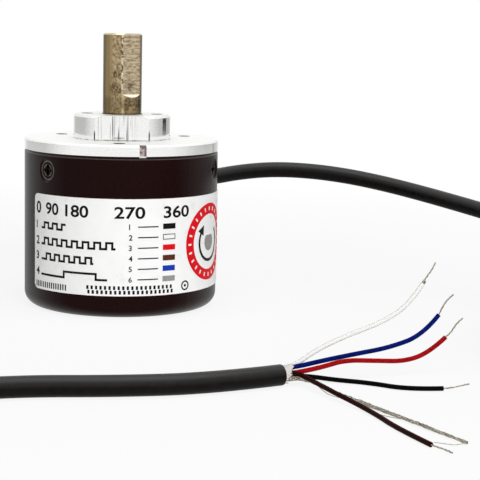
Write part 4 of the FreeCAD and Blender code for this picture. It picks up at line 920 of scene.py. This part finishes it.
def make_shield(tree, tinned):
    """Drain shield: tinned strands gathered and twisted, with a few hairs astray."""
    points = strand_start(-sqrt(3) / 2 * WIRE_RING, -WIRE_RING / 2) + SHIELD_ROUTE
    shield = twisted("shield_twist", [points], tree, tinned, SHIELD_STRANDS)
    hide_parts("shield_drain")
    hairs = twisted("stray_hairs", STRAY_HAIRS, tree, tinned, HAIR)
    line = route_points(points)


def make_wrap(tape):
    """Core wrap torn off askew round the cut: longer above than below, with a ragged, flared end."""
    chance = random.Random(WRAP_SEED)
    cut, along, across = cut_end()
    bm = bmesh.new()
    lines = []
    rag = 0.0
    for column in range(WRAP_COLUMNS):
        angle = 2 * pi * column / WRAP_COLUMNS
        out = across * cos(angle) + UP * sin(angle)
        rag = 0.5 * rag + chance.uniform(-WRAP_RAG, WRAP_RAG)
        reach = WRAP_REACH * (1.0 + WRAP_SLANT * sin(angle + WRAP_SLANT_TURN)) + rag
        flare = WRAP_FLARE * sin(angle * WRAP_FOLDS) + chance.uniform(-WRAP_RUFFLE, WRAP_RUFFLE)
        line = []
        for row in range(WRAP_ROWS + 1):
            share = row / WRAP_ROWS
            place = cut + along * ((reach + WRAP_HELD) * share - WRAP_HELD)
            line.append(bm.verts.new((place + out * (WRAP_DIA / 2 - WRAP_THICK + flare * share ** 2)) * MM))
        lines.append(line)
    for first, second in zip(lines, lines[1:] + lines[:1]):
        for a, b, c, d in zip(first, first[1:], second[1:], second):
            bm.faces.new((a, b, c, d))
    bmesh.ops.recalc_face_normals(bm, faces=bm.faces[:])
    bmesh.ops.solidify(bm, geom=bm.faces[:], thickness=WRAP_THICK * MM)
    bmesh.ops.recalc_face_normals(bm, faces=bm.faces[:])
    for face in bm.faces:
        face.smooth = True
    # The rim's faces come in an order that changes from run to run
    bm.faces.sort(key=lambda face: sum(face.calc_center_median()))
    wrap = ride(new_piece("torn_wrap", as_mesh("torn_wrap", bm), tape))
    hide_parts("core_wrap")
    return wrap


def make_tie_locks(nylon):
    """Locking heads of the two cable ties, with the cut tails."""
    bm = bmesh.new()
    mean = (COIL_OUTER + COIL_INNER) / 2
    blocks = ((TIE_LOCK, (mean, 0, TIE_TOP + TIE_LOCK[2] / 2), 0.0),
              (TIE_TAIL, (mean + TIE_TAIL_OUT, 0, TIE_TOP + TIE_TAIL_RISE), TIE_TAIL_TILT))
    for angle in TIE_ANGLES:
        turn = Matrix.Rotation(radians(angle), 4, "Z")
        middle = Matrix.Translation(Vector((*COIL_MIDDLE, 0)) * MM) @ turn
        for size, shift, tilt in blocks:
            lean = Matrix.Rotation(radians(tilt), 4, "Y")
            place = middle @ Matrix.Translation(Vector(shift) * MM) @ lean
            place = place @ Matrix.Diagonal((*(Vector(size) * MM), 1))
            block = bmesh.ops.create_cube(bm, size=1.0, matrix=place)
            edges = list({edge for vert in block["verts"] for edge in vert.link_edges})
            bmesh.ops.bevel(bm, geom=edges, offset=TIE_EDGE * MM, segments=3, profile=0.5, affect="EDGES")
    return ride(new_piece("tie_locks", as_mesh("tie_locks", bm), nylon))


def as_mesh(name, bm):
    """Finished mesh."""
    mesh = bpy.data.meshes.new(name)
    bm.to_mesh(mesh)
    bm.free()
    return mesh


def print_shape(bm, corners):
    """Printed filled outline, in millimetres along and up the label."""
    bm.faces.new([bm.verts.new((u * MM, v * MM, 0)) for u, v in corners])


def print_bar(bm, left, right, low, high):
    """Printed rectangle."""
    print_shape(bm, ((left, low), (right, low), (right, high), (left, high)))


def on_circle(middle, radius, angle):
    """Point on a circle; angles in degrees from the right, anticlockwise."""
    turn = radians(angle)
    return middle[0] + radius * cos(turn), middle[1] + radius * sin(turn)


def print_ring(bm, middle, inner, outer, start=0.0, end=360.0, steps=72):
    """Printed ring or arc."""
    angles = [start + (end - start) * n / steps for n in range(steps + 1)]
    for a, b in zip(angles, angles[1:]):
        print_shape(bm, [on_circle(middle, radius, angle) for radius, angle in (
            (inner, a), (outer, a), (outer, b), (inner, b))])


def print_wave(bm, left, right, low, high, period, line, phase):
    """Printed square wave, drawn with a line of one width."""
    edges = []
    at = left + period * phase
    while at < right - line:
        edges.append(at)
        at += period / 2
    top = False
    run_from = left
    for edge in edges:
        level = high - line if top else low
        print_bar(bm, run_from, edge - line / 2, level, level + line)
        print_bar(bm, edge - line / 2, edge + line / 2, low, high)
        run_from = edge + line / 2
        top = not top
    level = high - line if top else low
    print_bar(bm, run_from, right, level, level + line)


def print_number(bm, text, left, low, height, right=None):
    """Printed bold number of a height, fitted to its width if a right end is given."""
    letters = bpy.data.curves.new("number", "FONT")
    letters.body = text
    letters.offset = BOLD
    mesh = bpy.data.meshes.new_from_object(bpy.data.objects.new("number", letters))
    xs = [vertex.co.x for vertex in mesh.vertices]
    ys = [vertex.co.y for vertex in mesh.vertices]
    tall = height / (max(ys) - min(ys))
    wide = (right - left) / (max(xs) - min(xs)) if right else tall
    for vertex, x, y in zip(mesh.vertices, xs, ys):
        vertex.co = ((left + (x - min(xs)) * wide) * MM, (low + (y - min(ys)) * tall) * MM, 0)
    bm.from_mesh(mesh)
    bpy.data.meshes.remove(mesh)
    bpy.data.curves.remove(letters)


def on_label(name, data, tree, ink, lift, **values):
    """Piece of print, wrapped on the label with its ink, a lift above it in millimetres."""
    piece = grown(name, data, tree, Radius=(LABEL_RADIUS + lift) * MM, Start=radians(LABEL_START),
                  Low=LABEL_LOW * MM, Material=ink, **values)
    ride(piece)


def printed(name, bm, wrap, ink, lift):
    """Flat print as a thin closed layer on the label."""
    bmesh.ops.remove_doubles(bm, verts=bm.verts[:], dist=INK_WELD * MM)
    bm.normal_update()
    bmesh.ops.reverse_faces(bm, faces=[face for face in bm.faces if face.normal.z < 0])
    # Slivers folded over their neighbours where bold numbers pinch
    folded = [min(edge.link_faces, key=lambda face: face.calc_area()) for edge in bm.edges
              if len(edge.link_faces) > 1 and not edge.is_contiguous]
    bmesh.ops.delete(bm, geom=list(dict.fromkeys(folded)), context="FACES")
    left = min(vert.co.x for vert in bm.verts)
    right = max(vert.co.x for vert in bm.verts)
    for n in range(1, ceil((right - left) / (INK_STEP * MM))):
        bmesh.ops.bisect_plane(bm, geom=bm.verts[:] + bm.edges[:] + bm.faces[:], dist=INK_CUT * MM,
                               plane_co=(left + n * INK_STEP * MM, 0, 0), plane_no=(1, 0, 0))
    on_label(name, as_mesh(name, bm), wrap, ink, lift, wall=INK_THICKNESS * MM)


def print_key(layers):
    """Wiring key."""
    black = layers["black"]
    left, right = KEY_PATCH
    for number, ink in enumerate(KEY_INKS, start=1):
        middle = KEY_TOP - KEY_STEP * (number - 1)
        low = middle - KEY_HALF
        high = middle + KEY_HALF
        print_number(black, str(number), KEY_NUMBER_LEFT, low, 2 * KEY_HALF)
        print_bar(black, *KEY_LINE, middle - KEY_LINE_HALF, middle + KEY_LINE_HALF)
        if ink:
            print_bar(layers[ink], left, right, low, high)
        else:
            print_bar(black, left, right, high - KEY_FRAME, high)
            print_bar(black, left, right, low, low + KEY_FRAME)
            print_bar(black, left, left + KEY_FRAME, low + KEY_FRAME, high - KEY_FRAME)
            print_bar(black, right - KEY_FRAME, right, low + KEY_FRAME, high - KEY_FRAME)


def print_dial(layers):
    """Turning dial, and the sign of an axis that points at the viewer."""
    black = layers["black"]
    print_ring(layers["red"], DIAL, *DIAL_RING)
    for mark in range(DIAL_MARKS):
        angle = mark * 360 / DIAL_MARKS
        print_ring(layers["white"], DIAL, *DIAL_MARK, angle - DIAL_MARK_HALF, angle + DIAL_MARK_HALF, 2)
    print_ring(black, DIAL, *DIAL_ARC)
    print_shape(black, [on_circle(DIAL, radius, angle) for radius, angle in DIAL_ARROW])
    print_shape(layers["grey"], [on_circle(DIAL, DIAL_SHAFT, DIAL_SHAFT_START + n * DIAL_SHAFT_STEP)
                                 for n in range(DIAL_SHAFT_POINTS)])
    print_ring(black, AXIS_SIGN, *AXIS_RING)
    print_shape(black, [on_circle(AXIS_SIGN, AXIS_DOT, n * 360 / AXIS_DOT_POINTS)
                        for n in range(AXIS_DOT_POINTS)])


def make_print():
    """Label print in plain signs: degrees, pulse traces, a wiring key, a code track and a turning dial."""
    # Screen-printed ink: dense, slightly matt against the glossy film
    inks = {name: grained(f"printing_ink_{name}", 0.5, tones, (0.42, 0.55), 0.002, Specular_IOR_Level=0.12)
            for name, tones in INK_TONES.items()}
    layers = {name: bmesh.new() for name in inks}
    black = layers["black"]
    for text, left, right in DEGREES:
        print_number(black, text, left, DEGREES_LOW, DEGREES_HEIGHT, right)
    for number, (low, height, right, period, phase) in enumerate(TRACES, start=1):
        print_number(black, str(number), TRACE_NUMBER_LEFT, low, height)
        print_wave(black, TRACE_LEFT, right, low, low + height, period, TRACE_LINE, phase)
    print_key(layers)
    print_dial(layers)
    wrap = wrap_tree()
    for name, bm in layers.items():
        # White marks lie on the red ring
        lift = INK_LIFT + INK_THICKNESS if name == "white" else INK_LIFT
        printed(f"print_{name}", bm, wrap, inks[name], lift)
    track = track_tree(wrap)
    for name, left, foot, bars, spacing, height in TRACKS:
        on_label(name, bpy.data.meshes.new(name), track, inks["black"], INK_LIFT, Bars=bars,
                 Spacing=spacing * MM, Width=spacing / 2 * MM, Height=height * MM,
                 Ink=INK_THICKNESS * MM, Left=left * MM, Foot=foot * MM)


bpy.context.scene.view_settings.view_transform = "Standard"
make_camera()
make_surroundings()
make_floor()
make_lamps()
dress_all()
make_print()
cable, cable_exit = make_cable()
make_wires()
strands = strand_tree()
# Tinned copper: bright grey strands with dull warm patches
tinned = grained("tinned_copper_strand", 0.25, ("#7d7566", "#cfc9ba"), (0.24, 0.42), 0.004, **METAL)
tips = make_tips(strands, tinned)
make_shield(strands, tinned)
# Polyester tape: milky white, slightly see-through at its torn ends
tape = grained("polyester_wrap_tape", 0.4, ("#e6dfda", "#f8f5f2"), (0.3, 0.45), 0.01,
               Transmission_Weight=0.25)
wrap = make_wrap(tape)
locks = make_tie_locks(NODES["coil_ties"].data.materials[0])
